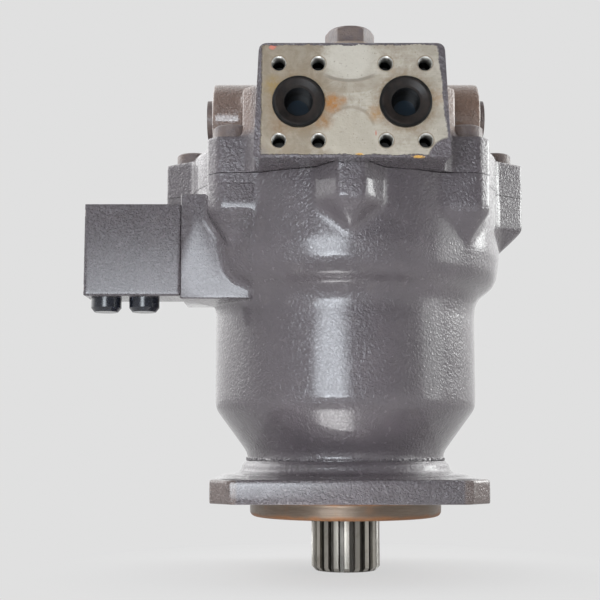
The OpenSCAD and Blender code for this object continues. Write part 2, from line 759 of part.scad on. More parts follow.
module check_ball(side) {
  color("silver") translate([side * port_x, 50, rim_top + 8 + sqrt(8.5 * 8.5 - 36) + 0.25]) sphere(r = 8.5);
}

module check_ball_left() {
  check_ball(-1);
}

module check_ball_right() {
  check_ball(1);
}

module brake_valve_block() {
  color("dimgray") difference() {
    translate([valve_block_left, valve_block_front, valve_block_bottom])
      cube([valve_block_joint - valve_block_left, valve_block_depth, valve_block_top - valve_block_bottom]);
    translate([valve_block_left + 28, valve_block_front + 19, 0]) {
      translate([0, 0, valve_block_bottom + 16]) cylinder(r = 6.3, h = 80);
      translate([0, 0, valve_block_top - 12]) cylinder(r = 9, h = 20);
    }
    translate([0, valve_block_front + 19, brake_step + 0.5])
      lying_x(2.5, valve_block_left + 28, valve_block_joint + 1);
    for (dx = [14, 41.5]) translate([valve_block_left + dx, valve_block_front + 17, valve_block_bottom - 1])
      cylinder(r = 6.6, h = 13);
    translate([valve_block_left + 41.5, valve_block_front + 17, valve_block_bottom]) cylinder(r = 2, h = 26);
    translate([0, valve_block_front + 18, valve_block_bottom + 24])
      lying_x(2, valve_block_left + 28, valve_block_left + 42);
    for (dy = [5.5, 32.5]) for (dz = [6, 60])
      translate([0, valve_block_front + dy, valve_block_bottom + dz]) {
        lying_x(3.3, valve_block_left - 1, valve_block_joint + 1);
        lying_x(5.5, valve_block_left - 1, valve_block_left + 6);
      }
  }
}

module brake_valve_screws() {
  color("gray") for (dy = [5.5, 32.5]) for (dz = [6, 60])
    translate([valve_block_left + 6, valve_block_front + dy, valve_block_bottom + dz])
      rotate([0, -90, 0]) socket_bolt(3, 5, 6, valve_block_joint - valve_block_left - 6 + 11, 5);
}

module brake_valve_plugs() {
  color("black") for (dx = [14, 41.5])
    translate([valve_block_left + dx, valve_block_front + 17, valve_block_bottom]) {
      translate([0, 0, -7]) cylinder(r = 11, h = 7);
      translate([0, 0, -10]) cylinder(r1 = 8.6, r2 = 11, h = 3);
      cylinder(r = 6.4, h = 9);
    }
}

module port_plugs() {
  color("black") for (side = [-1, 1]) translate([side * port_x, port_face + port_seat_depth, port_height])
    rotate([90, 0, 0]) rotate_extrude() polygon([
      [port_plug_opening / 2, -16], [0, -16], [0, -18], [port_bore_radius - 0.3, -18],
      [port_bore_radius - 0.1, 0], [port_plug_diameter / 2, 0],
      [port_plug_diameter / 2, port_plug_thickness - 0.8],
      [port_plug_diameter / 2 - 0.8, port_plug_thickness],
      [port_plug_diameter / 2 - 2.4, port_plug_thickness],
      [port_plug_opening / 2 + 1.6, port_plug_thickness - 1.6],
      [port_plug_opening / 2, port_plug_thickness - 2.6]
    ]);
}

// Closing screw with a disc head and a hexagon socket, its seat at X = 0, pointing along +X
module disc_plug(radius, length, head_radius, head_height, key) {
  difference() {
    union() {
      lying_x(radius, -length, 1);
      lying_x(head_radius, 0, head_height);
    }
    translate([head_height - 4, 0, 0]) rotate([0, 90, 0]) cylinder(r = key / 2 / cos(30), h = 8, $fn = 6);
  }
}

module case_plugs() {
  color("gray") {
    for (turn = [67.5, 112.5]) rotate([0, 0, turn]) translate([casing_upper_radius + 6, 0, 206])
      disc_plug(8, 12, 12, 4, 8);
    translate([0, cover_body_back, rim_top + 16]) rotate([0, 0, 90]) disc_plug(8, 12, 12, 4, 8);
    translate([valve_block_left + 28, valve_block_front + 19, valve_block_top - 12]) difference() {
      cylinder(r = 9, h = 11.6);
      translate([0, 0, 6]) cylinder(r = 4.6, h = 8, $fn = 6);
    }
  }
}

module drive_shaft() {
  color("silver") difference() {
    intersection() {
      union() {
        translate([0, 0, -shaft_reach]) linear_extrude(shaft_reach - 12)
          spline_outline(spline_teeth, spline_diameter / 2 - spline_depth, spline_diameter / 2);
        translate([0, 0, -14]) cylinder(r = 27, h = 22);
        translate([0, 0, front_bearing_bottom])
          cylinder(d = front_journal_diameter, h = front_bearing_top - front_bearing_bottom);
        translate([0, 0, front_bearing_top]) cylinder(r = 31, h = 4);
        translate([0, 0, front_bearing_top])
          cylinder(d = block_journal_diameter, h = 114 - front_bearing_top + 1);
        translate([0, 0, 114]) cylinder(d = block_journal_diameter, h = spring_pocket_top - 114);
        translate([0, 0, spring_pocket_top - 1]) linear_extrude(block_top - 7 - spring_pocket_top)
          spline_outline(20, block_journal_diameter / 2 - 2.2, block_journal_diameter / 2);
        translate([0, 0, block_top - 9]) cylinder(r = 21, h = rear_bearing_bottom - block_top + 9);
        translate([0, 0, rear_bearing_bottom - 1])
          cylinder(d = rear_journal_diameter, h = rear_bearing_top - rear_bearing_bottom + 1);
      }
      // Chamfers at both ends
      translate([0, 0, -shaft_reach]) rotate_extrude() polygon([
        [0, 0], [spline_diameter / 2 - 3, 0], [spline_diameter / 2 + 7, 10], [60, 10],
        [60, shaft_reach + rear_bearing_top - 50],
        [rear_journal_diameter / 2 + 2, shaft_reach + rear_bearing_top - 4],
        [rear_journal_diameter / 2 - 2, shaft_reach + rear_bearing_top], [0, shaft_reach + rear_bearing_top]
      ]);
    }
    // Centre hole in the shaft end
    translate([0, 0, -shaft_reach - 1]) cylinder(r = 4, h = 16);
    translate([0, 0, -shaft_reach - 0.01]) cylinder(r1 = 7, r2 = 4, h = 4);
  }
}

module cylinder_block() {
  color("silver") difference() {
    translate([0, 0, block_bottom]) cylinder(r = block_radius, h = block_top - block_bottom);
    group() on_circle(piston_count, piston_circle_radius) {
      translate([0, 0, block_bottom - 1])
        cylinder(r = piston_radius + piston_clearance, h = block_top - 9 - block_bottom);
    }
    for (i = [0 : piston_count - 1]) rotate([0, 0, 90 + i * 40]) translate([0, 0, block_top - 17])
      kidney(piston_circle_radius, 5, 8, 20);
    translate([0, 0, block_bottom - 1]) cylinder(r = 33, h = spring_pocket_top - block_bottom + 1);
    translate([0, 0, spring_pocket_top - 1]) linear_extrude(block_top + 2 - spring_pocket_top)
      spline_outline(20, block_journal_diameter / 2 - 2.05, block_journal_diameter / 2 + 0.15, 0.02);
    translate([0, 0, block_top - 8]) cylinder(r = 30, h = 10);
    for (turn = [0 : 30 : 330]) rotate([0, 0, turn])
      translate([block_radius - 4.2, -4, block_bottom - 1]) cube([10, 8, plate_stack_top + 3 - block_bottom]);
  }
}

module block_spring() {
  color("gray") translate([0, 0, 116]) coil(28.6, 2.1, spring_pocket_top - 116, 5, 18, 6);
}

module ball_guide() {
  color("silver") difference() {
    union() {
      intersection() {
        translate([0, 0, swash_centre_height]) sphere(r = guide_radius);
        translate([0, 0, swash_centre_height - 18.5]) cylinder(r = 60, h = 26.5);
      }
      translate([0, 0, swash_centre_height + 7])
        cylinder(r = sqrt(guide_radius * guide_radius - 64), h = 116 - swash_centre_height - 7);
    }
    translate([0, 0, 50]) cylinder(d = block_journal_diameter, h = 80);
  }
}

module bearing_inner(bore, track, height) {
  difference() {
    union() {
      cylinder(r = track, h = height);
      cylinder(r = track + 2, h = 0.13 * height);
      translate([0, 0, 0.87 * height]) cylinder(r = track + 2, h = 0.13 * height);
    }
    translate([0, 0, -1]) cylinder(r = bore, h = height + 2);
  }
}

module front_bearing_inner_ring() {
  color("silver") translate([0, 0, front_bearing_bottom])
    bearing_inner(front_journal_diameter / 2, front_inner_track, front_bearing_top - front_bearing_bottom);
}

module rear_bearing_inner_ring() {
  color("silver") translate([0, 0, rear_bearing_bottom])
    bearing_inner(rear_journal_diameter / 2, rear_inner_track, rear_bearing_top - rear_bearing_bottom);
}

// Rollers in their cage, between two tracks
module roller_set(pitch, roller, count, height) {
  long = 0.72 * height - 0.6;
  translate([0, 0, (height - long) / 2]) on_circle(count, pitch) cylinder(r = roller, h = long);
  difference() {
    translate([0, 0, (height - long) / 2 - 0.02])
      ring(pitch + roller * 0.42, pitch - roller * 0.42, long + 0.04);
    translate([0, 0, (height - long) / 2 + 0.6]) on_circle(count, pitch)
      cylinder(r = roller + 0.12, h = long - 1.2);
    translate([0, 0, (height - long) / 2 - 1]) on_circle(count, pitch)
      cylinder(r = roller - 0.01, h = long + 2);
  }
}

module front_bearing_rollers() {
  color("silver") translate([0, 0, front_bearing_bottom])
    roller_set(front_pitch, front_roller, 16, front_bearing_top - front_bearing_bottom);
}

module rear_bearing_rollers() {
  color("silver") translate([0, 0, rear_bearing_bottom])
    roller_set(rear_pitch, rear_roller, 16, rear_bearing_top - rear_bearing_bottom);
}

module retainer_plate() {
  color("gray") tilted() difference() {
    union() {
      translate([0, 0, retainer_bottom]) cylinder(r = retainer_radius, h = retainer_thickness);
      translate([0, 0, retainer_bottom]) cylinder(r = 36.4, h = retainer_thickness + 1.8);
    }
    sphere(r = guide_radius + running_gap);
    for (i = [0 : piston_count - 1])
      translate([circle_a * cos(i * 40), circle_a * sin(i * 40), retainer_bottom - 2])
        cylinder(r = retainer_hole_radius, h = retainer_thickness + 6);
  }
}

// Moves the children to the ball centre of one piston, upright
module at_ball(i) {
  group() translate([
    piston_circle_radius * cos(i * 40), piston_circle_radius * sin(i * 40),
    swash_centre_height + piston_circle_radius * cos(i * 40) * tan(swash_angle)
  ]) children();
}

module shoe(i) {
  color("goldenrod") at_ball(i) rotate([0, -swash_angle, 0]) difference() {
    union() {
      translate([0, 0, shoe_sole]) cylinder(r = shoe_radius, h = shoe_sole_top - shoe_sole);
      translate([0, 0, shoe_sole_top - 1]) cylinder(r = shoe_neck_radius, h = shoe_lip - shoe_sole_top + 1);
    }
    sphere(r = piston_ball_radius + running_gap);
    translate([0, 0, shoe_sole - 1]) cylinder(r = 1.2, h = 12);
    translate([0, 0, shoe_sole - 1]) cylinder(r = 8, h = 1.6);
  }
}

module piston(i) {
  color("silver") at_ball(i) difference() {
    union() {
      sphere(r = piston_ball_radius);
      cylinder(r = 6, h = 9);
      translate([0, 0, 7.6]) cylinder(r1 = 6, r2 = piston_radius - 2.2, h = 4.6);
      translate([0, 0, 12.2]) cylinder(r1 = piston_radius - 2.2, r2 = piston_radius, h = 1.8);
      translate([0, 0, 14]) cylinder(r = piston_radius, h = piston_length - 14);
    }
    translate([0, 0, 30]) cylinder(r = 8, h = piston_length);
    translate([0, 0, -12]) cylinder(r = 1.4, h = 50);
  }
}

module shoe_1() {
  shoe(0);
}

module shoe_2() {
  shoe(1);
}

module shoe_3() {
  shoe(2);
}

module shoe_4() {
  shoe(3);
}

module shoe_5() {
  shoe(4);
}

module shoe_6() {
  shoe(5);
}

module shoe_7() {
  shoe(6);
}

module shoe_8() {
  shoe(7);
}

module shoe_9() {
  shoe(8);
}

module piston_1() {
  piston(0);
}

module piston_2() {
  piston(1);
}

module piston_3() {
  piston(2);
}

module piston_4() {
  piston(3);
}

module piston_5() {
  piston(4);
}

module piston_6() {
  piston(5);
}

module piston_7() {
  piston(6);
}

module piston_8() {
  piston(7);
}

module piston_9() {
  piston(8);
}

module brake_piston() {
  color("gray") difference() {
    union() {
      translate([0, 0, plate_stack_top + running_gap])
        cylinder(r = small_brake_bore - running_gap, h = brake_step - plate_stack_top);
      translate([0, 0, brake_step + 1.2])
        cylinder(r = large_brake_bore - running_gap, h = brake_piston_top - brake_step - 1.2);
      translate([0, 0, brake_step - 1]) cylinder(r = small_brake_bore - running_gap, h = 4);
    }
    translate([0, 0, plate_stack_top - 1]) cylinder(r = block_radius + 3, h = 60);
    translate([0, 0, brake_spring_floor]) on_circle(brake_spring_count, brake_spring_circle)
      cylinder(r = 6.6, h = 20);
    translate([0, 0, brake_step - 8]) ring(small_brake_bore + 1, small_brake_bore - 3.4, 3.2);
    translate([0, 0, brake_step + 9]) ring(large_brake_bore + 1, large_brake_bore - 3.4, 3.2);
  }
}

module brake_springs() {
  color("gray") translate([0, 0, brake_spring_floor]) on_circle(brake_spring_count, brake_spring_circle)
    coil(4.8, 1.2, joint_height - brake_spring_floor, 6, 10, 5);
}

module brake_piston_seals() {
  color("black") rotate_extrude() {
    translate([small_brake_bore - 1.8, brake_step - 6.4]) circle(r = 1.58);
    translate([large_brake_bore - 1.8, brake_step + 10.6]) circle(r = 1.58);
  }
}

module brake_spool() {
  color("silver") translate([valve_block_left + 28, valve_block_front + 19, valve_block_bottom + 16.3]) {
    cylinder(r = 6, h = 7);
    cylinder(r = 3.6, h = 24);
    translate([0, 0, 15]) cylinder(r = 6, h = 9);
  }
}

module brake_spool_spring() {
  color("gray") translate([valve_block_left + 28, valve_block_front + 19, valve_block_bottom + 40.3])
    coil(4.3, 0.9, valve_block_top - 12 - valve_block_bottom - 40.3, 5, 12, 5);
}

casing();
valve_cover();
cover_bolts();
front_cover_bolt();
cover_o_ring();
front_bearing_outer_ring();
rear_bearing_outer_ring();
seal_carrier();
shaft_seal();
seal_snap_ring();
swash_plate();
valve_plate();
locating_pins();
separator_plates();
relief_cartridges();
check_valve_plugs();
brake_valve_block();
brake_valve_screws();
brake_valve_plugs();
port_plugs();
case_plugs();
drive_shaft();
cylinder_block();
block_spring();
ball_guide();
friction_plates();
front_bearing_inner_ring();
rear_bearing_inner_ring();
front_bearing_rollers();
rear_bearing_rollers();
retainer_plate();
shoe_1();
shoe_2();
shoe_3();
shoe_4();
shoe_5();
shoe_6();
shoe_7();
shoe_8();
shoe_9();
piston_1();
piston_2();
piston_3();
piston_4();
piston_5();
piston_6();
piston_7();
piston_8();
piston_9();
brake_piston();
brake_springs();
brake_piston_seals();
relief_poppet_left();
relief_poppet_right();
relief_spring_left();
relief_spring_right();
check_ball_left();
check_ball_right();
brake_spool();
brake_spool_spring();
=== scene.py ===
"""Hydraulic swing motor: castings, paint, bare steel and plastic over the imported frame."""

import json
import math
import random

import bmesh
import bpy
from mathutils import Matrix, Vector


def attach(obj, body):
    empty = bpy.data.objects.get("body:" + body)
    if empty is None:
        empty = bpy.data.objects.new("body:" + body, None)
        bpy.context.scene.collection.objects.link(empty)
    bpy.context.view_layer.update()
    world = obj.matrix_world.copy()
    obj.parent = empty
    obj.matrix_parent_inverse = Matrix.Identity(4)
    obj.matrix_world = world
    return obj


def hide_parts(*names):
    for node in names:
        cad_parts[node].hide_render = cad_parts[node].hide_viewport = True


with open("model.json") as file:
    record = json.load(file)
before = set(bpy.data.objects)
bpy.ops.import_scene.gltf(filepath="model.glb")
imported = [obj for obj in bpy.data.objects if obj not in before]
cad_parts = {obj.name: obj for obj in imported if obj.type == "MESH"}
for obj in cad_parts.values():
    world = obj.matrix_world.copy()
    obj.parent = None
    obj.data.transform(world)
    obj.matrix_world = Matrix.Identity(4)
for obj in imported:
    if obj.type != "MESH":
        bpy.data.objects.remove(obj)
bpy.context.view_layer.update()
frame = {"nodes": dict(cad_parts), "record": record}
NODES = frame["nodes"]
random.seed(11)
MM = 0.001

# Sizes of the frame in millimetres. X runs to the right, Y to the back and Z up from the flange's underside.
JOINT_Z = 230.0  # joint between the casing and the cover
SPIGOT_R = 101.25  # of the cover, inside the casing
FOOT_BACK = -140.5  # back of the port block's foot, in front of the joint
FLANGE_HALF = 97.5
FLANGE_CORNER = 181.4  # |x| + |y| of the cut corners
FLANGE_TOP = 17.0
PILOT_H = 13.0
PORT_FACE = -152.0  # Y of the machined face
PORT_X = 35.5  # centre of each port, to either side
PORT_Z = 266.0
PORT_R = 12.7
SEAT_R = 17.6  # milled seat round a port
SEAT_DEPTH = 1.0
HOLE_DX = 13.1  # bolt holes, from the port's centre
HOLE_DZ = 26.2
HOLE_R = 5.0
HOLE_DEPTH = 24.0
PAD = {"left": -120.0, "right": -67.5, "front": -76.6, "back": -19.5, "low": 144.1, "high": 220.0, "edge": 4.0}
BLOCK_LEFT = -189.0  # brake valve block
BLOCK_FRONT = -77.0
BLOCK_SCREWS = (152.0, 206.0)  # Z of its two front screws
BLOCK_SCREW_Y = -71.5
BLOCK_HEAD_R = 5.1
BLOCK_HEAD_DEPTH = 6.0
BOSS_START_X = 62.0  # relief valve bosses, to either side
BOSS_UNDER_Z = 255.5
WASHER_LOW = 309.5  # washer under the long bolt
WASHER_HIGH = 313.9
SPLINE_MIDDLE_R = 24.3  # between the floors and the tips of the shaft's teeth
THREAD_SHADE_DEPTH = (PORT_FACE + 6.5, PORT_FACE + 13.5)  # Y where the painted shade deep in the bolt holes starts and is full


# ---------------------------------------------------------------- mesh helpers
def link(name, mesh):
    obj = bpy.data.objects.new(name, mesh)
    bpy.context.scene.collection.objects.link(obj)
    return obj


def from_bmesh(name, bm):
    mesh = bpy.data.meshes.new(name)
    bm.to_mesh(mesh)
    bm.free()
    return link(name, mesh)


def node_copy(node, name):
    """A welded copy of a CAD node's mesh, in metres."""
    bm = bmesh.new()
    bm.from_mesh(NODES[node].data)
    bmesh.ops.remove_doubles(bm, verts=bm.verts, dist=2e-6)
    return from_bmesh(name, bm)


def circle(steps):
    """Cosine and sine of each step round a circle."""
    turns = [2 * math.pi * k / steps for k in range(steps)]
    return [(math.cos(turn), math.sin(turn)) for turn in turns]


def lathe(name, profile, steps=128):
    """Closed solid of revolution about Z from (radius, height) points in millimetres. The profile
    starts and ends on the axis, or keeps off it and closes on itself."""
    bm = bmesh.new()
    rings = []
    for r, z in profile:
        if r == 0:
            rings.append([bm.verts.new((0, 0, z * MM))])
        else:
            rings.append([bm.verts.new((r * MM * c, r * MM * s, z * MM)) for c, s in circle(steps)])
    pairs = list(zip(rings, rings[1:]))
    if profile[0][0] > 0:
        pairs.append((rings[-1], rings[0]))
    for a, b in pairs:
        for k in range(steps):
            n = (k + 1) % steps
            if len(a) == 1:
                bm.faces.new((a[0], b[n], b[k]))
            elif len(b) == 1:
                bm.faces.new((a[k], a[n], b[0]))
            else:
                bm.faces.new((a[k], a[n], b[n], b[k]))
    bmesh.ops.recalc_face_normals(bm, faces=bm.faces)
    return from_bmesh(name, bm)


def box_solid(name, lo, hi):
    """Closed box between two corners, in millimetres."""
    bm = bmesh.new()
    bmesh.ops.create_cube(bm, size=1)
    for v in bm.verts:
        v.co = Vector([(lo[i] if v.co[i] < 0 else hi[i]) * MM for i in range(3)])
    return from_bmesh(name, bm)


def prism(name, outline, low, high):
    """Closed upright solid over an outline of (x, y) points in millimetres."""
    bm = bmesh.new()
    rings = [[bm.verts.new((x * MM, y * MM, z * MM)) for x, y in outline] for z in (low, high)]
    bm.faces.new(rings[0])
    bm.faces.new(rings[1])
    for k in range(len(outline)):
        n = (k + 1) % len(outline)
        bm.faces.new((rings[0][k], rings[0][n], rings[1][n], rings[1][k]))
    bmesh.ops.recalc_face_normals(bm, faces=bm.faces)
    return from_bmesh(name, bm)


def rod(name, radius, a, b, steps=48):
    """Closed cylinder between two points, in millimetres."""
    a, b = Vector(a) * MM, Vector(b) * MM
    r = radius * MM
    bm = bmesh.new()
    bmesh.ops.create_cone(bm, cap_ends=True, segments=steps, radius1=r, radius2=r, depth=(b - a).length)
    turn = (b - a).to_track_quat("Z", "Y").to_matrix().to_4x4()
    bm.transform(Matrix.Translation((a + b) / 2) @ turn)
    return from_bmesh(name, bm)


def settle(obj):
    """Applies every modifier of a piece."""
    dg = bpy.context.evaluated_depsgraph_get()
    done = bpy.data.meshes.new_from_object(obj.evaluated_get(dg))
    obj.modifiers.clear()
    old = obj.data
    obj.data = done
    bpy.data.meshes.remove(old)
    return obj


def combine(obj, others, operation):
    """Boolean with each of the others in turn; the others are removed."""
    for other in others:
        m = obj.modifiers.new("cut", "BOOLEAN")
        m.operation = operation
        m.solver = "MANIFOLD"
        m.object = other
        settle(obj)
        bpy.data.objects.remove(other)
    return obj


def soften(obj, rounds, group=""):
    """Smooths a mesh by that many rounds, only in its vertex group where one is named."""
    s = obj.modifiers.new("soften", "SMOOTH")
    s.factor = 0.5
    s.iterations = rounds
    s.vertex_group = group
    return settle(obj)


def cast(obj, voxel, rounds):
    """Turns sharp edges and corners into cast ones, with a grid of that many millimetres."""
    m = obj.modifiers.new("voxels", "REMESH")
    m.mode = "VOXEL"
    m.voxel_size = voxel * MM
    return soften(obj, rounds)


def rounded_lobes(obj, low, high, soft, rounds):
    """Softens a casting further between two heights in millimetres, fading over soft inside them."""
    group = obj.vertex_groups.new(name="lobes")
    for v in obj.data.vertices:
        z = v.co.z / MM
        weight = min(1.0, (z - low) / soft, (high - z) / soft)
        if weight > 0:
            group.add([v.index], weight, "REPLACE")
    return soften(obj, rounds, "lobes")


def bevelled(obj, width, segments=3):
    m = obj.modifiers.new("edges", "BEVEL")
    m.width = width * MM
    m.segments = segments
    m.limit_method = "ANGLE"
    return settle(obj)


def smooth_shaded(obj, angle=32):
    """Smooth shading, with edges kept sharp from that many degrees on."""
    obj.data.polygons.foreach_set("use_smooth", [True] * len(obj.data.polygons))
    bm = bmesh.new()
    bm.from_mesh(obj.data)
    limit = math.radians(angle)
    for e in bm.edges:
        e.smooth = len(e.link_faces) == 2 and e.calc_face_angle(0) < limit
    bm.to_mesh(obj.data)
    bm.free()
    return obj


# ---------------------------------------------------------------- material helpers
class Graph:
    """Short way to add nodes and links to a node tree."""

    def __init__(self, tree):
        self.tree = tree

    def feed(self, socket, value):
        """Links a socket, or sets it where the value is a plain one."""
        if isinstance(value, bpy.types.NodeSocket):
            self.tree.links.new(value, socket)
        else:
            socket.default_value = value

    def add(self, kind, values=None, **settings):
        node = self.tree.nodes.new(kind)
        for key, value in settings.items():
            setattr(node, key, value)
        for key, value in (values or {}).items():
            self.feed(node.inputs[key], value)
        return node

    def math(self, op, a, b=0.0, c=0.0, clamp=False):
        return self.add("ShaderNodeMath", {0: a, 1: b, 2: c}, operation=op, use_clamp=clamp).outputs[0]

    def axes(self, vector):
        """X, Y and Z of a vector."""
        parts = self.add("ShaderNodeSeparateXYZ", {0: vector}).outputs
        return parts["X"], parts["Y"], parts["Z"]

    def reach(self, a, a0, b, b0):
        """Distance of the point (a, b) from (a0, b0)."""
        da, db = self.math("SUBTRACT", a, a0), self.math("SUBTRACT", b, b0)
        return self.math("SQRT", self.math("ADD", self.math("MULTIPLY", da, da), self.math("MULTIPLY", db, db)))

    def oval_reach(self, a, a0, half_a, b, b0, half_b):
        """Distance of the point (a, b) from (a0, b0), where 1 is the rim of an oval."""
        across = self.math("DIVIDE", self.math("SUBTRACT", a, a0), half_a)
        up = self.math("DIVIDE", self.math("SUBTRACT", b, b0), half_b)
        return self.reach(across, 0.0, up, 0.0)

    def noise(self, vector, scale, detail=3.0, rough=0.5, distort=0.0):
        return self.add("ShaderNodeTexNoise", {"Vector": vector, "Scale": scale, "Detail": detail,
                                               "Roughness": rough, "Distortion": distort}).outputs["Fac"]

    def grain(self, vector, stretch, scale, detail=4.0):
        """Noise drawn out along an axis whose stretch is small against the others, as tools leave it."""
        drawn = self.add("ShaderNodeMapping", {"Vector": vector, "Scale": stretch}).outputs[0]
        return self.noise(drawn, scale, detail, 0.6)

    def ramp(self, value, low, high, out_low=0.0, out_high=1.0):
        return self.add("ShaderNodeMapRange", {"Value": value, "From Min": low, "From Max": high,
                                               "To Min": out_low, "To Max": out_high}).outputs["Result"]

    def mix(self, factor, a, b):
        return self.add("ShaderNodeMix", {0: factor, 6: a, 7: b}, data_type="RGBA").outputs[2]

    def blend(self, factor, a, b):
        """Mix of two plain values."""
        return self.add("ShaderNodeMix", {0: factor, 2: a, 3: b}).outputs[0]

    def bump(self, height, strength, distance):
        return self.add("ShaderNodeBump", {"Height": height, "Strength": strength,
                                           "Distance": distance}).outputs["Normal"]

    def both(self, *masks):
        """Product of several masks."""
        total = masks[0]
        for m in masks[1:]:
            total = self.math("MULTIPLY", total, m, clamp=True)
        return total

    def either(self, *masks):
        """The largest of several masks."""
        total = masks[0]
        for m in masks[1:]:
            total = self.math("MAXIMUM", total, m)
        return total

    def within(self, value, low, high, soft):
        """1 between low and high, fading over soft outside them."""
        return self.both(self.ramp(value, low - soft, low), self.ramp(value, high + soft, high))


def colour(r, g, b):
    return (r, g, b, 1.0)


def new_material(name):
    """A material, the graph of its nodes, its shader and the object coordinates."""
    mat = bpy.data.materials.new(name)
    mat.use_nodes = True
    g = Graph(mat.node_tree)
    shader = mat.node_tree.nodes["Principled BSDF"]
    place = g.add("ShaderNodeTexCoord").outputs["Object"]
    return mat, g, shader, place


# ---------------------------------------------------------------- shared shader groups
def cast_surface_group():
    """Height in millimetres of a painted casting: slow waves, orange peel and grit, from object coordinates."""
    tree = bpy.data.node_groups.new("cast_surface", "ShaderNodeTree")
    tree.interface.new_socket("Vector", in_out="INPUT", socket_type="NodeSocketVector")
    for label, usual in (("Peel", 0.5), ("Grit", 0.1)):
        tree.interface.new_socket(label, in_out="INPUT", socket_type="NodeSocketFloat").default_value = usual
    tree.interface.new_socket("Height", in_out="OUTPUT", socket_type="NodeSocketFloat")
    g = Graph(tree)
    given, result = g.add("NodeGroupInput").outputs, g.add("NodeGroupOutput").inputs
    waves = g.noise(given["Vector"], 34.0, 2.0)
    peel = g.noise(given["Vector"], 430.0, 1.5, 0.5, 0.5)
    grit = g.noise(given["Vector"], 860.0, 2.0, 0.6)
    total = g.math("MULTIPLY_ADD", peel, given["Peel"], g.math("MULTIPLY", waves, 0.7))
    g.feed(result["Height"], g.math("MULTIPLY_ADD", grit, given["Grit"], total))
    return tree


CAST = cast_surface_group()


# ---------------------------------------------------------------- materials
# Lengths inside the materials are in metres, as the object coordinates are.
PAINT = (0.116, 0.100, 0.110)
PAINT_DARK = (0.086, 0.074, 0.082)
PAINT_BROWN = (0.205, 0.132, 0.098)
PAINT_WORN = (0.150, 0.112, 0.098)
PAINT_DUST = (0.19, 0.17, 0.165)
PAINT_COAT = 0.6
COARSE_PEEL = 1.6
COARSE_GRIT = 0.2
RUST = (0.23, 0.105, 0.045)
PILOT_DARK = (0.118, 0.088, 0.067)
PILOT_LIGHT = (0.190, 0.152, 0.120)
FACE_DARK = (0.43, 0.388, 0.322)
FACE_LIGHT = (0.53, 0.485, 0.415)
FACE_LEFT_DARK = (0.245, 0.200, 0.145)
FACE_DULL = (0.245, 0.198, 0.142)
FACE_STAIN = (0.22, 0.17, 0.12)
FACE_SPECK = (0.24, 0.20, 0.16)
PORT_RING = (0.24, 0.165, 0.092)
HOLE_MOUTH = (0.26, 0.19, 0.12)
HOLE_WALL = (0.42, 0.40, 0.37)
HOLE_END_SHADE = (0.05, 0.048, 0.045)
ORANGE = (0.72, 0.40, 0.08)
WASHER_RUST = (0.34, 0.27, 0.215)
BOLT_WORN = (0.185, 0.135, 0.112)

# Marks on the port face, in millimetres and in the order in which they lie over each other.
# A blot has its centre (x, z), size, soft rim, strength and tint, and says whether it is even;
# an arc its centre, radius, half width, the spans in x and z that it fills, strength and tint;
# a dash its centre, half sizes, strength and tint.
PALE_BLOTS = (
    (-1.5, 296.0, 16.5, 5.0, 0.8, (0.56, 0.525, 0.46), True),
    (-1.4, 242.0, 17.8, 3.0, 0.8, (0.44, 0.395, 0.325), True),
)
OIL_ARCS = (
    (-1.6, 317.8, 38.0, 0.6, (-15.0, 12.0), (270.0, 300.0), 0.7, (0.20, 0.17, 0.135)),
    (-1.6, 317.8, 42.5, 3.5, (-19.0, 16.0), (262.0, 300.0), 0.4, (0.27, 0.22, 0.16)),
    (-1.4, 246.4, 16.6, 0.5, (-15.5, 14.5), (251.0, 270.0), 0.5, (0.23, 0.185, 0.135)),
)
RUST_BLOTS = (
    (-12.8, 265.0, 5.2, 3.0, 1.3, (0.36, 0.165, 0.05), False),
    (-6.0, 267.0, 2.4, 2.2, 1.2, (0.36, 0.18, 0.07), False),
    (-52.4, 277.4, 5.2, 3.5, 1.1, (0.29, 0.20, 0.08), False),
    (-48.3, 249.2, 4.6, 3.5, 1.1, (0.22, 0.145, 0.085), False),
    (-18.5, 253.0, 4.6, 3.5, 1.1, (0.29, 0.165, 0.075), False),
    (15.6, 257.9, 3.8, 3.2, 1.1, (0.38, 0.22, 0.095), False),
    (56.5, 269.0, 3.4, 3.6, 1.0, (0.33, 0.21, 0.12), False),
    (26.0, 288.5, 2.0, 2.0, 0.5, (0.38, 0.24, 0.12), False),
    (-64.0, 229.0, 7.5, 3.0, 0.6, (0.15, 0.13, 0.14), True),
)
RED_DASHES = (
    (-52.6, 303.7, 2.8, 1.7, 0.8, (0.66, 0.20, 0.15)),
    (15.6, 244.8, 0.4, 1.8, 0.75, (0.50, 0.10, 0.07)),
)
ORANGE_DROPS = ((4.6, 230.6, 2.3, 0.8), (43.4, 228.8, 3.6, 0.9))  # centres and half sizes


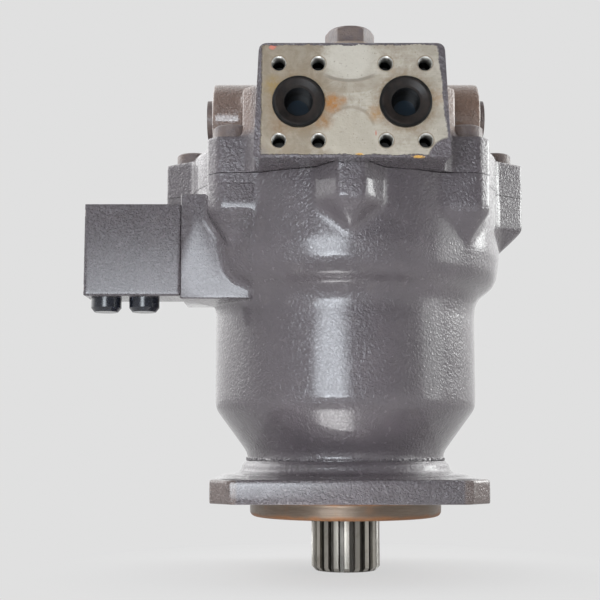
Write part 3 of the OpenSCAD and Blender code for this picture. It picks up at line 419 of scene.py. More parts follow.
def paint(name, peel=0.80, grit=0.12, rough=0.19, fine=1.2, coat=PAINT_COAT, zone=None):
    """Thick warm grey paint over cast iron. A zone changes it in places or adds a casting's machined faces."""
    mat, g, shader, place = new_material(name)
    spots = g.noise(place, 16.0, 5.0, 0.6)
    base = g.mix(g.ramp(spots, 0.36, 0.66), colour(*PAINT_DARK), colour(*PAINT))
    dust = g.noise(place, 90.0, 4.0, 0.6)
    look = {
        "Base Color": g.mix(g.ramp(dust, 0.55, 0.8, 0.0, 0.22), base, colour(*PAINT_DUST)),
        "Roughness": g.ramp(g.noise(place, 210.0, 3.0), 0.3, 0.7, rough - 0.05, rough + 0.1),
        "Metallic": 0.0,
        "Coat Weight": coat,
        "Peel": peel,
        "Grit": grit,
    }
    if zone:
        zone(g, place, g.axes(place), look)
    closer = g.add("ShaderNodeVectorMath", {0: place, "Scale": fine}, operation="SCALE").outputs[0]
    surface = g.add("ShaderNodeGroup", node_tree=CAST)
    for key, value in (("Vector", closer), ("Peel", look.pop("Peel")), ("Grit", look.pop("Grit"))):
        g.feed(surface.inputs[key], value)
    look["Normal"] = g.bump(surface.outputs["Height"], 1.0, MM)
    for key, value in look.items():
        g.feed(shader.inputs[key], value)
    shader.inputs["Coat Roughness"].default_value = 0.06
    return mat


def casing_zone(g, place, at, look):
    """Coarser paint on the pad and the flange edge; rusty turned pilot under the flange."""
    x, y, z = at
    wide, deep = g.math("ABSOLUTE", x), g.math("ABSOLUTE", y)
    pad = g.both(g.ramp(x, (PAD["right"] + 1.5) * MM, (PAD["right"] - 0.5) * MM),
                 g.ramp(y, (PAD["front"] + 1.1) * MM, (PAD["front"] + 0.3) * MM),
                 g.within(z, (PAD["low"] - 1.1) * MM, (PAD["high"] + 2.0) * MM, MM))
    flange = g.ramp(z, (FLANGE_TOP + 1.5) * MM, (FLANGE_TOP + 0.5) * MM)
    far = g.math("MAXIMUM", wide, deep)
    edge = g.both(g.ramp(far, (FLANGE_HALF - 2.0) * MM, (FLANGE_HALF - 1.0) * MM), flange)
    coarse = g.either(pad, edge)
    look["Peel"] = g.blend(coarse, look["Peel"], COARSE_PEEL)
    look["Grit"] = g.blend(coarse, look["Grit"], COARSE_GRIT)
    skew = g.math("ADD", wide, deep)
    corner = g.both(g.ramp(skew, (FLANGE_CORNER - 6.9) * MM, (FLANGE_CORNER - 4.9) * MM), flange)
    look["Base Color"] = g.mix(g.math("MULTIPLY", corner, 0.75), look["Base Color"], colour(*PAINT_WORN))

    pilot = g.ramp(z, 0.2 * MM, -0.2 * MM)
    turned = g.grain(place, (1.0, 1.0, 26.0), 90.0)
    stain = g.noise(place, 60.0, 4.0, 0.65)
    metal = g.mix(g.ramp(turned, 0.3, 0.7), colour(*PILOT_DARK), colour(*PILOT_LIGHT))
    under_flange = g.ramp(g.math("MULTIPLY_ADD", stain, 0.004, z), -0.5 * MM, 1.2 * MM)
    at_end = g.ramp(g.math("MULTIPLY_ADD", stain, -0.005, z), (1.5 - PILOT_H) * MM, (-0.8 - PILOT_H) * MM)
    rust = g.either(under_flange, at_end, g.ramp(stain, 0.54, 0.76, 0.0, 0.5))
    look["Base Color"] = g.mix(pilot, look["Base Color"], g.mix(rust, metal, colour(*RUST)))
    look["Roughness"] = g.blend(pilot, look["Roughness"], g.ramp(rust, 0.0, 1.0, 0.36, 0.62))
    look["Metallic"] = g.both(pilot, g.ramp(rust, 0.0, 1.0, 0.7, 0.2))
    painted = g.math("SUBTRACT", 1.0, pilot)
    look["Coat Weight"] = g.math("MULTIPLY", painted, PAINT_COAT)
    look["Peel"] = g.math("MULTIPLY", look["Peel"], painted)


def bare_port_face(g, place, at):
    """1 on the bare port face. Its sides lean, paint fills its lower right corner, and the edge of the
    paint wavers."""
    x, y, z = at
    waver = g.ramp(g.noise(place, 60.0, 5.0, 0.62), 0.3, 0.7, -0.8 * MM, 0.8 * MM)
    fine = g.ramp(g.noise(place, 520.0, 3.0, 0.6), 0.3, 0.7, -0.5 * MM, 0.5 * MM)
    shift = g.math("ADD", waver, fine)
    xs, zs = g.math("ADD", x, shift), g.math("ADD", z, shift)

    def side(side_x, side_z, lean):
        return g.math("MULTIPLY_ADD", g.math("SUBTRACT", z, side_z * MM), lean, side_x * MM)

    left = g.ramp(g.math("SUBTRACT", xs, side(-60.8, 233.3, 0.018)), -0.5 * MM, 0.5 * MM)
    right = g.ramp(g.math("SUBTRACT", side(57.9, 294.5, -0.094), xs), -0.4 * MM, 0.6 * MM)
    height = g.within(zs, 230.6 * MM, 304.5 * MM, 0.4 * MM)
    corner = g.ramp(g.reach(xs, 65.5 * MM, zs, 226.0 * MM), 15.2 * MM, 16.4 * MM)
    in_front = g.ramp(y, (PORT_FACE + 1.4) * MM, (PORT_FACE + 1.1) * MM)
    return g.both(left, right, height, corner, in_front)


class PortFaceMetal:
    """Colour of the bare port face: milled metal under oil, dirt and rust, laid one over the other."""

    def __init__(self, g, place, at):
        self.g, self.place = g, place
        self.x, _, self.z = at
        self.stain = g.noise(place, 42.0, 6.0, 0.7, 0.5)
        self.fleck = g.ramp(g.noise(place, 330.0, 5.0, 0.7), 0.36, 0.64, 0.3, 1.0)
        milled = g.grain(place, (1.0, 1.0, 14.0), 60.0)
        self.tone = g.mix(g.ramp(milled, 0.25, 0.75), colour(*FACE_DARK), colour(*FACE_LIGHT))
        # The face is darker towards its left.
        self.lay(g.ramp(self.x, -10.0 * MM, -30.0 * MM, 0.0, 0.7), FACE_LEFT_DARK)
        dull = g.ramp(g.noise(place, 95.0, 5.0, 0.7, 0.8), 0.42, 0.58)
        self.lay(g.math("MULTIPLY", dull, g.ramp(self.x, 20.0 * MM, -30.0 * MM, 0.3, 0.85)), FACE_DULL)
        self.lay(self.flecked(g.ramp(self.stain, 0.5, 0.74, 0.0, 0.8)), FACE_STAIN)

    def lay(self, mask, tint):
        self.tone = self.g.mix(mask, self.tone, colour(*tint))

    def flecked(self, mask):
        return self.g.math("MULTIPLY", mask, self.fleck)

    def port_ring(self, port_x):
        """Ring of dried oil round a port."""
        g = self.g
        away = g.math("ADD", g.reach(self.x, port_x * MM, self.z, PORT_Z * MM),
                      g.ramp(self.stain, 0.3, 0.7, -2.6 * MM, 2.6 * MM))
        self.lay(self.flecked(g.ramp(away, 25.0 * MM, 17.0 * MM, 0.0, 0.85)), PORT_RING)

    def blot(self, x, z, size, soft, strength, tint, even):
        """Round stain with a ragged rim, flecked unless it is even."""
        g = self.g
        spread = g.ramp(self.stain, 0.3, 0.7, -0.5 * soft * MM, 0.5 * soft * MM)
        away = g.math("ADD", g.reach(self.x, x * MM, self.z, z * MM), spread)
        mask = g.ramp(away, (size + soft) * MM, (size - soft) * MM, 0.0, strength)
        self.lay(mask if even else self.flecked(mask), tint)

    def arc(self, x, z, radius, half_width, span_x, span_z, strength, tint):
        """Part of a ring, as a flange leaves in old oil."""
        g = self.g
        away = g.math("MULTIPLY_ADD", self.stain, 1.2 * MM, g.reach(self.x, x * MM, self.z, z * MM))
        line = g.both(g.within(away, (radius - half_width) * MM, (radius + half_width) * MM, 0.9 * MM),
                      g.within(self.x, span_x[0] * MM, span_x[1] * MM, 5.0 * MM),
                      g.within(self.z, span_z[0] * MM, span_z[1] * MM, 2.0 * MM))
        self.lay(g.math("MULTIPLY", line, strength), tint)

    def dash(self, x, z, half_x, half_z, strength, tint):
        """Short crisp fleck of old paint."""
        g = self.g
        away = g.math("ADD", g.oval_reach(self.x, x * MM, half_x * MM, self.z, z * MM, half_z * MM),
                      g.ramp(self.fleck, 0.3, 1.0, 0.35, -0.25))
        self.lay(g.ramp(away, 1.3, 0.8, 0.0, strength), tint)

    def marks(self):
        """All marks of the face, from the oldest to the newest."""
        for side in (-1, 1):
            self.port_ring(side * PORT_X)
        for blot in PALE_BLOTS:
            self.blot(*blot)
        for arc in OIL_ARCS:
            self.arc(*arc)
        for blot in RUST_BLOTS:
            self.blot(*blot)
        for dash in RED_DASHES:
            self.dash(*dash)
        self.lay(self.g.ramp(self.g.noise(self.place, 560.0, 2.0, 0.5), 0.64, 0.71, 0.0, 0.6), FACE_SPECK)


def port_bolt_places():
    """(x, z) of each bolt hole of the port face, in millimetres."""
    for side in (-1, 1):
        for sx in (-1, 1):
            for sz in (-1, 1):
                yield side * PORT_X + sx * HOLE_DX, PORT_Z + sz * HOLE_DZ


def cover_zone(g, place, at, look):
    """Brown dust on the bosses; bare machined port face, paint lapping over its rim, oil and rust stains;
    painted shade at the floor of each bolt hole.
    """
    x, y, z = at
    boss = g.both(g.ramp(g.math("ABSOLUTE", x), BOSS_START_X * MM, (BOSS_START_X + 8.0) * MM),
                  g.ramp(z, BOSS_UNDER_Z * MM, (BOSS_UNDER_Z + 6.5) * MM),
                  g.ramp(x, -50.0 * MM, 50.0 * MM, 0.7, 0.95))
    base = g.mix(boss, look["Base Color"], colour(*PAINT_BROWN))
    face = bare_port_face(g, place, at)
    metal = PortFaceMetal(g, place, at)
    metal.marks()

    hole = g.either(*[g.ramp(g.reach(x, hole_x * MM, z, hole_z * MM), (HOLE_R + 0.8) * MM, (HOLE_R + 0.3) * MM)
                      for hole_x, hole_z in port_bolt_places()])
    inside = g.ramp(y, (PORT_FACE + 0.3) * MM, (PORT_FACE + 0.8) * MM)
    metal.lay(g.math("MULTIPLY", hole, g.math("SUBTRACT", 1.0, inside)), HOLE_MOUTH)
    wall = g.both(hole, inside, g.ramp(y, -120.0 * MM, -124.0 * MM))
    metal.lay(wall, HOLE_WALL)
    hole_end = PORT_FACE + HOLE_DEPTH
    # The floor of each bolt hole is painted near black as shade.
    metal.lay(g.both(hole, g.ramp(y, (hole_end - 0.6) * MM, (hole_end - 0.3) * MM)), HOLE_END_SHADE)

    bare = g.either(face, wall)
    look["Roughness"] = g.blend(bare, look["Roughness"], g.ramp(metal.stain, 0.3, 0.75, 0.36, 0.6))
    look["Metallic"] = g.math("MULTIPLY", bare, 0.45)
    painted = g.math("SUBTRACT", 1.0, bare)
    look["Coat Weight"] = g.math("MULTIPLY", painted, PAINT_COAT)
    look["Peel"] = g.math("MULTIPLY", look["Peel"], g.math("MULTIPLY_ADD", painted, 0.92, 0.08))
    look["Grit"] = g.math("MULTIPLY", look["Grit"], g.math("MULTIPLY_ADD", painted, 0.8, 0.2))

    ragged = g.ramp(g.noise(place, 700.0, 3.0, 0.6), 0.3, 0.7, -0.5, 0.5)
    spots = []
    for drop_x, drop_z, half_x, half_z in ORANGE_DROPS:
        away = g.oval_reach(x, drop_x * MM, half_x * MM, z, drop_z * MM, half_z * MM)
        spots.append(g.ramp(g.math("ADD", away, ragged), 1.15, 0.75))
    drops = g.both(g.either(*spots), g.ramp(y, (PORT_FACE + 2.6) * MM, (PORT_FACE + 2.0) * MM))
    look["Base Color"] = g.mix(g.math("MULTIPLY", drops, 0.9), g.mix(bare, base, metal.tone), colour(*ORANGE))


def bolt_zone(g, place, at, look):
    """Worn brown paint, and a rusty band on the washer under the long bolt."""
    _, y, z = at
    band = g.both(g.ramp(y, -90.0 * MM, -95.0 * MM), g.within(z, WASHER_LOW * MM, WASHER_HIGH * MM, 0.6 * MM))
    worn = g.ramp(g.noise(place, 130.0, 4.0, 0.65), 0.35, 0.65, 0.25, 0.8)
    look["Base Color"] = g.mix(worn, look["Base Color"], colour(*BOLT_WORN))
    look["Base Color"] = g.mix(g.math("MULTIPLY", band, 0.8), look["Base Color"], colour(*WASHER_RUST))


OILY_DIRT = (0.06, 0.045, 0.03)
# Painted shade deep inside the bolt holes.
DEEP_HOLE_SHADE = (0.012, 0.011, 0.010)
# Painted shade in the gaps of the shaft's spline.
SPLINE_GAP_SHADE = (0.022, 0.02, 0.019)


def machined(name, tint, rough, grain=(1.0, 1.0, 1.0), dirt=0.35, groove=None, depth=None):
    """Machined metal with a turned or ground grain and oily dirt. Nearer to Z than groove, outside the
    pilot, or behind depth (a start and an end along Y), it is painted dark as shade."""
    mat, g, shader, place = new_material(name)
    x, y, z = g.axes(place)
    turned = g.grain(place, grain, 260.0, 3.0)
    grime = g.noise(place, 75.0, 5.0, 0.65)
    base = g.mix(g.ramp(turned, 0.3, 0.7), colour(*[c * 0.82 for c in tint]), colour(*tint))
    base = g.mix(g.ramp(grime, 0.5, 0.75, 0.0, dirt), base, colour(*OILY_DIRT))
    if depth:
        # Behind depth the metal is painted nearly black, as the shade deep inside a hole.
        base = g.mix(g.ramp(y, depth[0] * MM, depth[1] * MM, 0.0, 0.94), base, colour(*DEEP_HOLE_SHADE))
    if groove:
        deep = g.ramp(g.reach(x, 0.0, y, 0.0), groove * MM, (groove - 2.2) * MM)
        outside = g.ramp(z, (1.0 - PILOT_H) * MM, (-1.0 - PILOT_H) * MM)
        # The spline's gaps are painted dark as shade.
        base = g.mix(g.both(deep, outside), base, colour(*SPLINE_GAP_SHADE))
    g.feed(shader.inputs["Base Color"], base)
    g.feed(shader.inputs["Roughness"], g.ramp(grime, 0.35, 0.75, rough, rough + 0.22))
    g.feed(shader.inputs["Normal"], g.bump(turned, 0.25, 0.2 * MM))
    shader.inputs["Metallic"].default_value = 1.0
    return mat


def plastic(name, tint, rough, coat=0.0):
    """Dull rubber or plastic with a faint mottle."""
    mat, g, shader, place = new_material(name)
    mottle = g.noise(place, 160.0, 3.0)
    base = g.mix(g.ramp(mottle, 0.3, 0.7), colour(*[c * 0.75 for c in tint]), colour(*tint))
    g.feed(shader.inputs["Base Color"], base)
    g.feed(shader.inputs["Roughness"], g.ramp(g.noise(place, 420.0, 2.0), 0.3, 0.7, rough, rough + 0.15))
    g.feed(shader.inputs["Normal"], g.bump(g.noise(place, 900.0, 2.0), 0.12, 0.2 * MM))
    shader.inputs["Coat Weight"].default_value = coat
    return mat


PLUG_RING_DARK = (0.009, 0.008, 0.008)
PLUG_RING_BROWN = (0.027, 0.020, 0.017)
# Painted shade on the plugs' rims and inside their hollows.
PLUG_RIM_SHADE = (0.004, 0.004, 0.004)
PLUG_HOLLOW_SHADE = (0.003, 0.004, 0.005)
PLUG_FLOOR = (0.006, 0.013, 0.021)


def port_plug_plastic():
    """Dark plastic of the port plugs: a dull brownish ring round a glossy hollow with a blue-black floor;
    the ring's rim and the hollow's walls are painted black as shade.
    """
    mat, g, shader, place = new_material("port_plug_plastic")
    x, _, z = g.axes(place)
    wide = g.math("ABSOLUTE", x)
    away = g.reach(wide, PORT_X * MM, z, PORT_Z * MM)
    hollow = g.ramp(away, 10.0 * MM, 9.2 * MM)
    floor = g.ramp(g.reach(wide, (PORT_X + 0.5) * MM, z, (PORT_Z - 1.6) * MM), 7.6 * MM, 7.0 * MM)
    smear = g.noise(place, 130.0, 5.0, 0.65)
    base = g.mix(g.ramp(smear, 0.35, 0.7), colour(*PLUG_RING_DARK), colour(*PLUG_RING_BROWN))
    # Painted shade: the ring's rim and the hollow are darkened nearly to black.
    base = g.mix(g.ramp(away, 15.7 * MM, 16.3 * MM), base, colour(*PLUG_RIM_SHADE))
    base = g.mix(hollow, base, colour(*PLUG_HOLLOW_SHADE))
    base = g.mix(g.both(hollow, floor), base, colour(*PLUG_FLOOR))
    g.feed(shader.inputs["Base Color"], base)
    g.feed(shader.inputs["Roughness"], g.blend(hollow, g.ramp(smear, 0.3, 0.7, 0.26, 0.4), 0.22))
    g.feed(shader.inputs["Normal"], g.bump(g.noise(place, 700.0, 2.0), 0.1, 0.2 * MM))
    shader.inputs["Specular IOR Level"].default_value = 0.22
    return mat


def dress(node, material):
    """Gives a CAD node or a piece its material."""
    obj = NODES[node] if isinstance(node, str) else node
    obj.data.materials.clear()
    obj.data.materials.append(material)
    return obj


M_CASING = paint("casing_paint", zone=casing_zone)
M_COVER = paint("cover_paint", peel=0.95, rough=0.22, zone=cover_zone)
M_BLOCK = paint("valve_block_paint", peel=1.9, grit=0.2, rough=0.21, fine=1.35)
M_BOLT = paint("bolt_paint", peel=0.4, grit=0.15, rough=0.42, coat=0.15, zone=bolt_zone)
M_GROUND = machined("ground_steel", (0.62, 0.61, 0.59), 0.2)
M_THREAD = machined("thread_steel", (0.66, 0.65, 0.62), 0.26, dirt=0.25, depth=THREAD_SHADE_DEPTH)
M_SHAFT = machined("shaft_steel", (0.35, 0.33, 0.295), 0.28, grain=(1.0, 1.0, 0.08), dirt=0.5,
                   groove=SPLINE_MIDDLE_R)
M_IRON = machined("block_iron", (0.36, 0.35, 0.34), 0.38, dirt=0.25)
M_PLATE = machined("plate_steel", (0.42, 0.40, 0.38), 0.34)
M_SPRING = machined("spring_steel", (0.30, 0.30, 0.31), 0.3)
M_BRONZE = machined("bronze", (0.62, 0.42, 0.19), 0.27, dirt=0.2)
M_RUBBER = plastic("seal_rubber", (0.03, 0.03, 0.031), 0.55)
M_BLACK = plastic("black_plastic", (0.014, 0.016, 0.024), 0.16, coat=0.4)
M_PLUG = port_plug_plastic()

SLOT_MATERIAL = {
    "casing_paint": M_CASING, "fastener_paint": M_BOLT, "ground_steel": M_GROUND, "shaft_steel": M_SHAFT,
    "block_iron": M_IRON, "plate_steel": M_PLATE, "spring_steel": M_SPRING, "bronze": M_BRONZE,
    "seal_rubber": M_RUBBER, "black_plastic": M_BLACK,
}
for part in frame["record"]["subparts"]:
    dress(part["node"], SLOT_MATERIAL[part["material_slot"]])
dress("port_plugs", M_PLUG)


# ---------------------------------------------------------------- castings
# Sizes in millimetres; outlines are points of (radius, height).
MACHINING = 4.0  # stock cast onto a face and then cut off again
SEAM = 0.2  # each half keeps this far off the joint
CASTING_GRID = 1.5
CASING_ROUNDS = 9  # of smoothing, which sets how round the cast edges are
COVER_ROUNDS = 8
BLOCK_GRID = 0.9
BLOCK_ROUNDS = 4
BOLT_GRID = 0.8
BOLT_ROUNDS = 4
CAVITY = [(60, 36), (72, 44), (90.5, 70), (91, 140), (97.5, 150), (106, 176), (107, 182)]
FOOT_FLARE = [(70, 16), (90, 16), (90, 18.9), (86.5, 19.0), (83, 19.5), (80.3, 20.7), (78, 22.8), (76.4, 25.4),
              (75.3, 28), (75, 29), (70, 29)]
FOOT_GROOVE = [(74.1, 28.9), (79, 28.3), (79, 29.8), (74.1, 29.3)]
LOBES_LOW = 150.0
LOBE_FADE = 8.0
LOBE_ROUNDS = 22
PAD_STEPS = 8  # of the pad's rounded end


def pad_outline():
    """Plan of the crisp pad that carries the valve block, its front end rounded."""
    r = PAD["edge"]
    points = [(PAD["left"], PAD["back"]), (PAD["left"], PAD["front"])]
    for k in range(PAD_STEPS + 1):
        turn = math.radians(-90 + 90 * k / PAD_STEPS)
        points.append((PAD["right"] - r + r * math.cos(turn), PAD["front"] + r + r * math.sin(turn)))
    return points + [(PAD["right"], PAD["back"])]


def cavity_solid(name, bottom, top):
    """The casing's hollow, from below the pilot to above the joint."""
    return lathe(name, [(0, bottom), (60, bottom)] + CAVITY + [(107, top), (0, top)])


def machined_casing():
    """The casing as cast, then machined: fillets outside, crisp joint and pad, the frame's own cavity."""
    piece = node_copy("casing", "casing_casting")
    for v in piece.data.vertices:
        if v.co.z > (JOINT_Z - 0.05) * MM:
            v.co.z += MACHINING * MM
    cavity = cavity_solid("cavity", -PILOT_H - 2, JOINT_Z + 2)
    combine(cavity, [node_copy("casing", "casing_tool")], "DIFFERENCE")
    core = cavity_solid("core", -PILOT_H, JOINT_Z + MACHINING)
    combine(piece, [core, lathe("foot", FOOT_FLARE)], "UNION")
    cast(piece, CASTING_GRID, CASING_ROUNDS)
    rounded_lobes(piece, LOBES_LOW, JOINT_Z - 1.0, LOBE_FADE, LOBE_ROUNDS)
    combine(piece, [lathe("groove", FOOT_GROOVE)], "DIFFERENCE")
    pad = bevelled(prism("pad", pad_outline(), PAD["low"], PAD["high"]), 0.9)
    combine(piece, [pad], "UNION")
    top = box_solid("joint", (-200, -200, JOINT_Z - SEAM), (200, 200, JOINT_Z + 30))
    return combine(piece, [cavity, top], "DIFFERENCE")


def machined_cover():
    """The cover as cast, then the joint face, the port face and its holes cut."""
    piece = node_copy("valve_cover", "cover_casting")
    for v in piece.data.vertices:
        at_face = v.co.y < (PORT_FACE + 0.05) * MM
        at_joint = abs(v.co.z - JOINT_Z * MM) < 0.05 * MM and v.co.xy.length > SPIGOT_R * MM
        if at_joint and v.co.y > FOOT_BACK * MM:
            v.co.z -= MACHINING * MM
        if at_face:
            v.co.y -= MACHINING * MM

    def drill(name, radius, x, z, front, back, steps=48):
        """Rod along Y, its ends measured from the port face."""
        return rod(name, radius, (x, PORT_FACE + front, z), (x, PORT_FACE + back, z), steps)

    front = 0.1 - MACHINING
    fills = []
    for at in (-PORT_X, PORT_X):
        fills.append(drill("fill", SEAT_R + 1, at, PORT_Z, front, 3))
        fills.append(drill("fill", PORT_R + 0.7, at, PORT_Z, 2, 52))
    for x, z in port_bolt_places():
        fills.append(drill("fill", HOLE_R + 1.1, x, z, front, HOLE_DEPTH + 2, 24))
    combine(piece, fills, "UNION")
    cast(piece, CASTING_GRID, COVER_ROUNDS)
    cuts = [box_solid("face", (-120, PORT_FACE - 30, 200), (120, PORT_FACE, 340))]
    under = box_solid("joint", (-200, FOOT_BACK, JOINT_Z - 30), (200, 200, JOINT_Z + SEAM))
    cuts.append(combine(under, [rod("spigot", SPIGOT_R, (0, 0, 150), (0, 0, 300), 128)], "DIFFERENCE"))
    for at in (-PORT_X, PORT_X):
        cuts.append(drill("bore", PORT_R, at, PORT_Z, -8, 62, 64))
        cuts.append(drill("seat", SEAT_R, at, PORT_Z, -8, SEAT_DEPTH, 96))
    for x, z in port_bolt_places():
        cuts.append(drill("hole", HOLE_R, x, z, -8, HOLE_DEPTH, 32))
        cuts.append(drill("mouth", HOLE_R + 0.4, x, z, -8, 0.4, 32))
    return combine(piece, cuts, "DIFFERENCE")


BEADS = 420
BEAD_RING_R = 75.25
BEAD_Z = 29.7
BODY_R = 99.4
# Runs of paint on the body: angle about Z, height, half length and tilt
PAINT_RUNS = (
    (-130, 132.3, 2.6, 60), (-126, 99.2, 3.2, 35), (-122.5, 73.6, 2.4, 30), (-133, 118.0, 2.0, 80),
    (-128, 108.5, 2.2, -70), (-71, 126.2, 1.7, -50), (-72.4, 102.5, 1.4, 5), (-55, 112.4, 1.2, -60),
    (-58.7, 101.1, 1.6, -10), (-44.8, 92.0, 1.2, 50), (-117, 124.0, 1.6, 10),
)


def paint_beads():
    """Beads of paint that ran together above the groove of the foot, and small runs on the body."""
    bm = bmesh.new()

    def drop(place, spin, half_sizes, fineness):
        shape = Matrix.Diagonal((*half_sizes, 1.0))
        bmesh.ops.create_icosphere(bm, subdivisions=fineness, radius=1.0,
                                   matrix=Matrix.Translation(place) @ spin @ shape)

    for _ in range(BEADS):
        turn = math.radians(random.uniform(0, 360))
        size = random.uniform(0.3, 0.75) * MM
        place = Vector((math.cos(turn), math.sin(turn), 0)) * (BEAD_RING_R + random.uniform(-0.2, 0.2)) * MM
        place.z = (BEAD_Z + random.uniform(-0.5, 0.9)) * MM
        along = Matrix.Rotation(turn + math.pi / 2, 4, "Z")
        drop(place, along, (size * random.uniform(0.8, 1.8), size * 0.7, size), 2)
    for degrees, z, half_length, tilt in PAINT_RUNS:
        turn = math.radians(degrees)
        place = Vector((BODY_R * math.cos(turn), BODY_R * math.sin(turn), z)) * MM
        along = Matrix.Rotation(turn + math.pi / 2, 4, "Z") @ Matrix.Rotation(math.radians(tilt), 4, "Y")
        drop(place, along, (half_length * MM, 0.3 * MM, 0.42 * MM), 3)
    return from_bmesh("paint_beads", bm)


def valve_block():
    """The block as cast, with a thin wall left in front of its two front screw heads."""
    piece = node_copy("brake_valve_block", "valve_block_casting")
    fills, heads = [], []
    half = BLOCK_HEAD_R + 0.5
    for z in BLOCK_SCREWS:
        fills.append(box_solid("fill", (BLOCK_LEFT + 0.02, BLOCK_FRONT + 0.02, z - half),
                               (BLOCK_LEFT + BLOCK_HEAD_DEPTH + 0.1, BLOCK_FRONT + 11.5, z + half)))
        heads.append(rod("head", BLOCK_HEAD_R, (BLOCK_LEFT - 3, BLOCK_SCREW_Y, z),
                         (BLOCK_LEFT + BLOCK_HEAD_DEPTH, BLOCK_SCREW_Y, z), 40))
    combine(piece, fills, "UNION")
    cast(piece, BLOCK_GRID, BLOCK_ROUNDS)
    return combine(piece, heads, "DIFFERENCE")


def long_bolt():
    """The long bolt, its edges rounded by thick paint."""
    return cast(node_copy("front_cover_bolt", "long_bolt_painted"), BOLT_GRID, BOLT_ROUNDS)


def bolt_threads():
    """Cut threads in the bolt holes of the port face: sleeves with a helical inside."""
    bm = bmesh.new()
    pitch, steps = 1.75, 40
    crest, root, outer = HOLE_R - 0.85, HOLE_R - 0.05, HOLE_R + 0.15
    start, end = PORT_FACE + 0.9, PORT_FACE + HOLE_DEPTH - 0.4
    rows = int((end - start) / pitch * 4)
    around = circle(steps)

    def ring(x, z, depth, radii):
        return [bm.verts.new(((x + r * c) * MM, depth * MM, (z + r * s) * MM))
                for r, (c, s) in zip(radii, around)]

    for x, z in port_bolt_places():
        sleeve = []
        for row in range(rows + 1):
            depth = start + (end - start) * row / rows
            turns = (depth - start) / pitch
            radii = [crest + (root - crest) * abs((turns + k / steps) % 1.0 - 0.5) * 2 for k in range(steps)]
            if row in (0, rows):
                radii = [root] * steps
            sleeve.append(ring(x, z, depth, radii))
        sleeve += [ring(x, z, depth, [outer] * steps) for depth in (end, start)]
        for a, b in zip(sleeve, sleeve[1:] + sleeve[:1]):
            for k in range(steps):
                n = (k + 1) % steps
                bm.faces.new((a[k], a[n], b[n], b[k]))
    bmesh.ops.recalc_face_normals(bm, faces=bm.faces)
    return from_bmesh("port_bolt_threads", bm)


for make, node, material, slot in (
    (machined_casing, "casing", M_CASING, "casing_paint"),
    (machined_cover, "valve_cover", M_COVER, "casing_paint"),
    (paint_beads, None, M_CASING, "casing_paint"),
    (valve_block, "brake_valve_block", M_BLOCK, "casing_paint"),
    (long_bolt, "front_cover_bolt", M_BOLT, "fastener_paint"),
    (bolt_threads, None, M_THREAD, "ground_steel"),
):
    piece = smooth_shaded(make())
    dress(piece, material)
    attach(piece, "housing")
    if node:
        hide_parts(node)


# ---------------------------------------------------------------- studio, in metres
FLOOR = -0.0531
FLOOR_R = 9.0
FLOOR_TINT = (0.66, 0.66, 0.66)
PALE = 0.745  # tone of the empty room
WHITE = (1.0, 1.0, 1.0)
COOL = (0.87, 0.935, 1.0)
DAYLIGHT = (0.97, 1.0, 0.98)
PICTURE_SIDE = 600  # pixels
FOCAL_LENGTH = 1186  # pixels, from the fit of the camera to the photograph
SENSOR = 36.0  # millimetres
EYE = (-0.0345, -0.915, 0.0419)
EYE_UP = 0.12  # radians above level


def seen_directly(g):
    """1 for rays from the camera, from gloss and through glass."""
    rays = g.add("ShaderNodeLightPath").outputs
    return g.either(rays["Is Camera Ray"], rays["Is Glossy Ray"], rays["Is Transmission Ray"])


def floor_sheet():
    """Pale floor: one even tone far from the object, a quarter of it real light and shadow near the object."""
    mat, g, shader, place = new_material("pale_floor")
    shader.inputs["Base Color"].default_value = colour(*FLOOR_TINT)
    shader.inputs["Roughness"].default_value = 0.9
    even = g.add("ShaderNodeEmission", {"Color": colour(PALE, PALE, PALE), "Strength": 1.0})
    x, y, _ = g.axes(place)
    away = g.reach(x, 0.0, y, 0.0)
    share = g.math("MULTIPLY", seen_directly(g), g.ramp(away, 0.13, 0.24, 0.74, 1.0))
    look = g.add("ShaderNodeMixShader", {0: share, 1: shader.outputs[0], 2: even.outputs[0]})
    g.feed(mat.node_tree.nodes["Material Output"].inputs["Surface"], look.outputs[0])
    bm = bmesh.new()
    bmesh.ops.create_circle(bm, cap_ends=True, segments=96, radius=FLOOR_R)
    bm.transform(Matrix.Translation((0, 0, FLOOR)))
    floor = from_bmesh("floor_sheet", bm)
    dress(floor, mat)


def pale_room():
    """Even pale room for the camera. For the light it is bright behind the object and dim in front, with
    bright areas high up at both sides and over the left."""
    world = bpy.data.worlds.new("world")
    bpy.context.scene.world = world
    world.use_nodes = True
    g = Graph(world.node_tree)
    x, y, z = g.axes(g.add("ShaderNodeTexCoord").outputs["Generated"])
    front_to_back = g.ramp(y, -0.12, 0.22, 0.22, 0.98)
    left = g.ramp(x, 0.2, -0.9, 0.0, 0.22)
    high = g.both(g.ramp(z, 0.08, 0.30), g.ramp(y, -0.15, 0.12), g.ramp(g.math("ABSOLUTE", x), 0.35, 0.65))
    over_left = g.both(g.ramp(z, 0.05, 0.4), g.ramp(x, 0.1, -0.5))
    top = g.math("MULTIPLY_ADD", high, 2.0, g.math("MULTIPLY", over_left, 0.4))
    room = g.math("ADD", g.math("ADD", front_to_back, left), top)
    sky = world.node_tree.nodes["Background"]
    sky.inputs["Color"].default_value = colour(*WHITE)
    g.feed(sky.inputs["Strength"], g.blend(g.add("ShaderNodeLightPath").outputs["Is Camera Ray"], room, PALE))


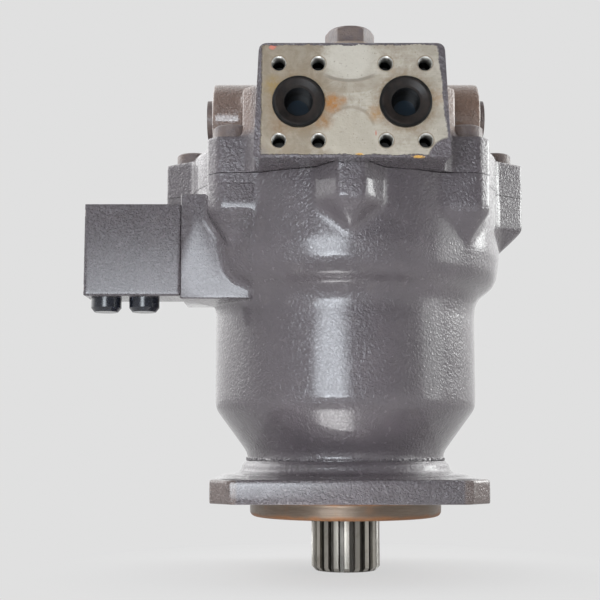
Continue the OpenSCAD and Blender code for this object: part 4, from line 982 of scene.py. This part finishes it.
def lamp(name, at, turn, size_x, size_y, radiance, tint=WHITE):
    """Soft panel turned by the given degrees about X and Z: bright in its middle, fading to its edge and
    dark behind."""
    half_x, half_y = size_x / 2, size_y / 2
    bm = bmesh.new()
    corners = ((-half_x, -half_y), (-half_x, half_y), (half_x, half_y), (half_x, -half_y))
    bm.faces.new([bm.verts.new((x, y, 0)) for x, y in corners])
    panel = from_bmesh(name, bm)

    mat, g, _, place = new_material(name)
    x, y, _ = g.axes(place)
    away = g.oval_reach(x, 0.0, half_x, y, 0.0, half_y)
    fade = g.add("ShaderNodeMapRange", {"Value": away, "From Min": 1.0, "From Max": 0.3},
                 interpolation_type="SMOOTHSTEP").outputs[0]
    front = g.math("SUBTRACT", 1.0, g.add("ShaderNodeNewGeometry").outputs["Backfacing"])
    strength = g.math("MULTIPLY", g.both(fade, front), radiance)
    glow = g.add("ShaderNodeEmission", {"Color": colour(*tint), "Strength": strength})
    clear = g.add("ShaderNodeBsdfTransparent")
    total = g.add("ShaderNodeAddShader", {0: clear.outputs[0], 1: glow.outputs[0]})
    g.feed(mat.node_tree.nodes["Material Output"].inputs["Surface"], total.outputs[0])
    dress(panel, mat)
    panel.location = at
    panel.rotation_euler = (math.radians(turn[0]), 0, math.radians(turn[1]))
    panel.visible_camera = False


def camera():
    """The camera of the photograph."""
    cam = bpy.data.cameras.new("camera")
    cam.sensor_width = SENSOR
    cam.lens = SENSOR * FOCAL_LENGTH / PICTURE_SIDE
    cam.clip_start = 0.01
    cam.clip_end = 20
    eye = link("camera", cam)
    eye.location = EYE
    eye.rotation_euler = (math.radians(90) + EYE_UP, 0, 0)
    bpy.context.scene.camera = eye


def studio():
    """Pale seamless room, soft lamps and the camera."""
    floor_sheet()
    pale_room()
    lamp("lamp_front", (-0.28, -1.17, 0.12), (90, -13), 0.84, 0.62, 12.2, COOL)
    lamp("lamp_front_low", (-0.17, -1.10, 0.0), (90, -8), 0.60, 0.10, 8.0, COOL)
    lamp("lamp_right", (1.12, -0.28, 0.22), (90, 78), 0.70, 0.90, 2.7, DAYLIGHT)
    lamp("lamp_right_high", (1.12, 0.33, 0.46), (78, 105), 0.70, 0.50, 7.5, DAYLIGHT)
    lamp("lamp_low", (-0.025, -0.126, FLOOR + 0.006), (180, 0), 0.10, 0.060, 9.0)
    camera()
    bpy.context.scene.view_settings.view_transform = "Standard"


studio()
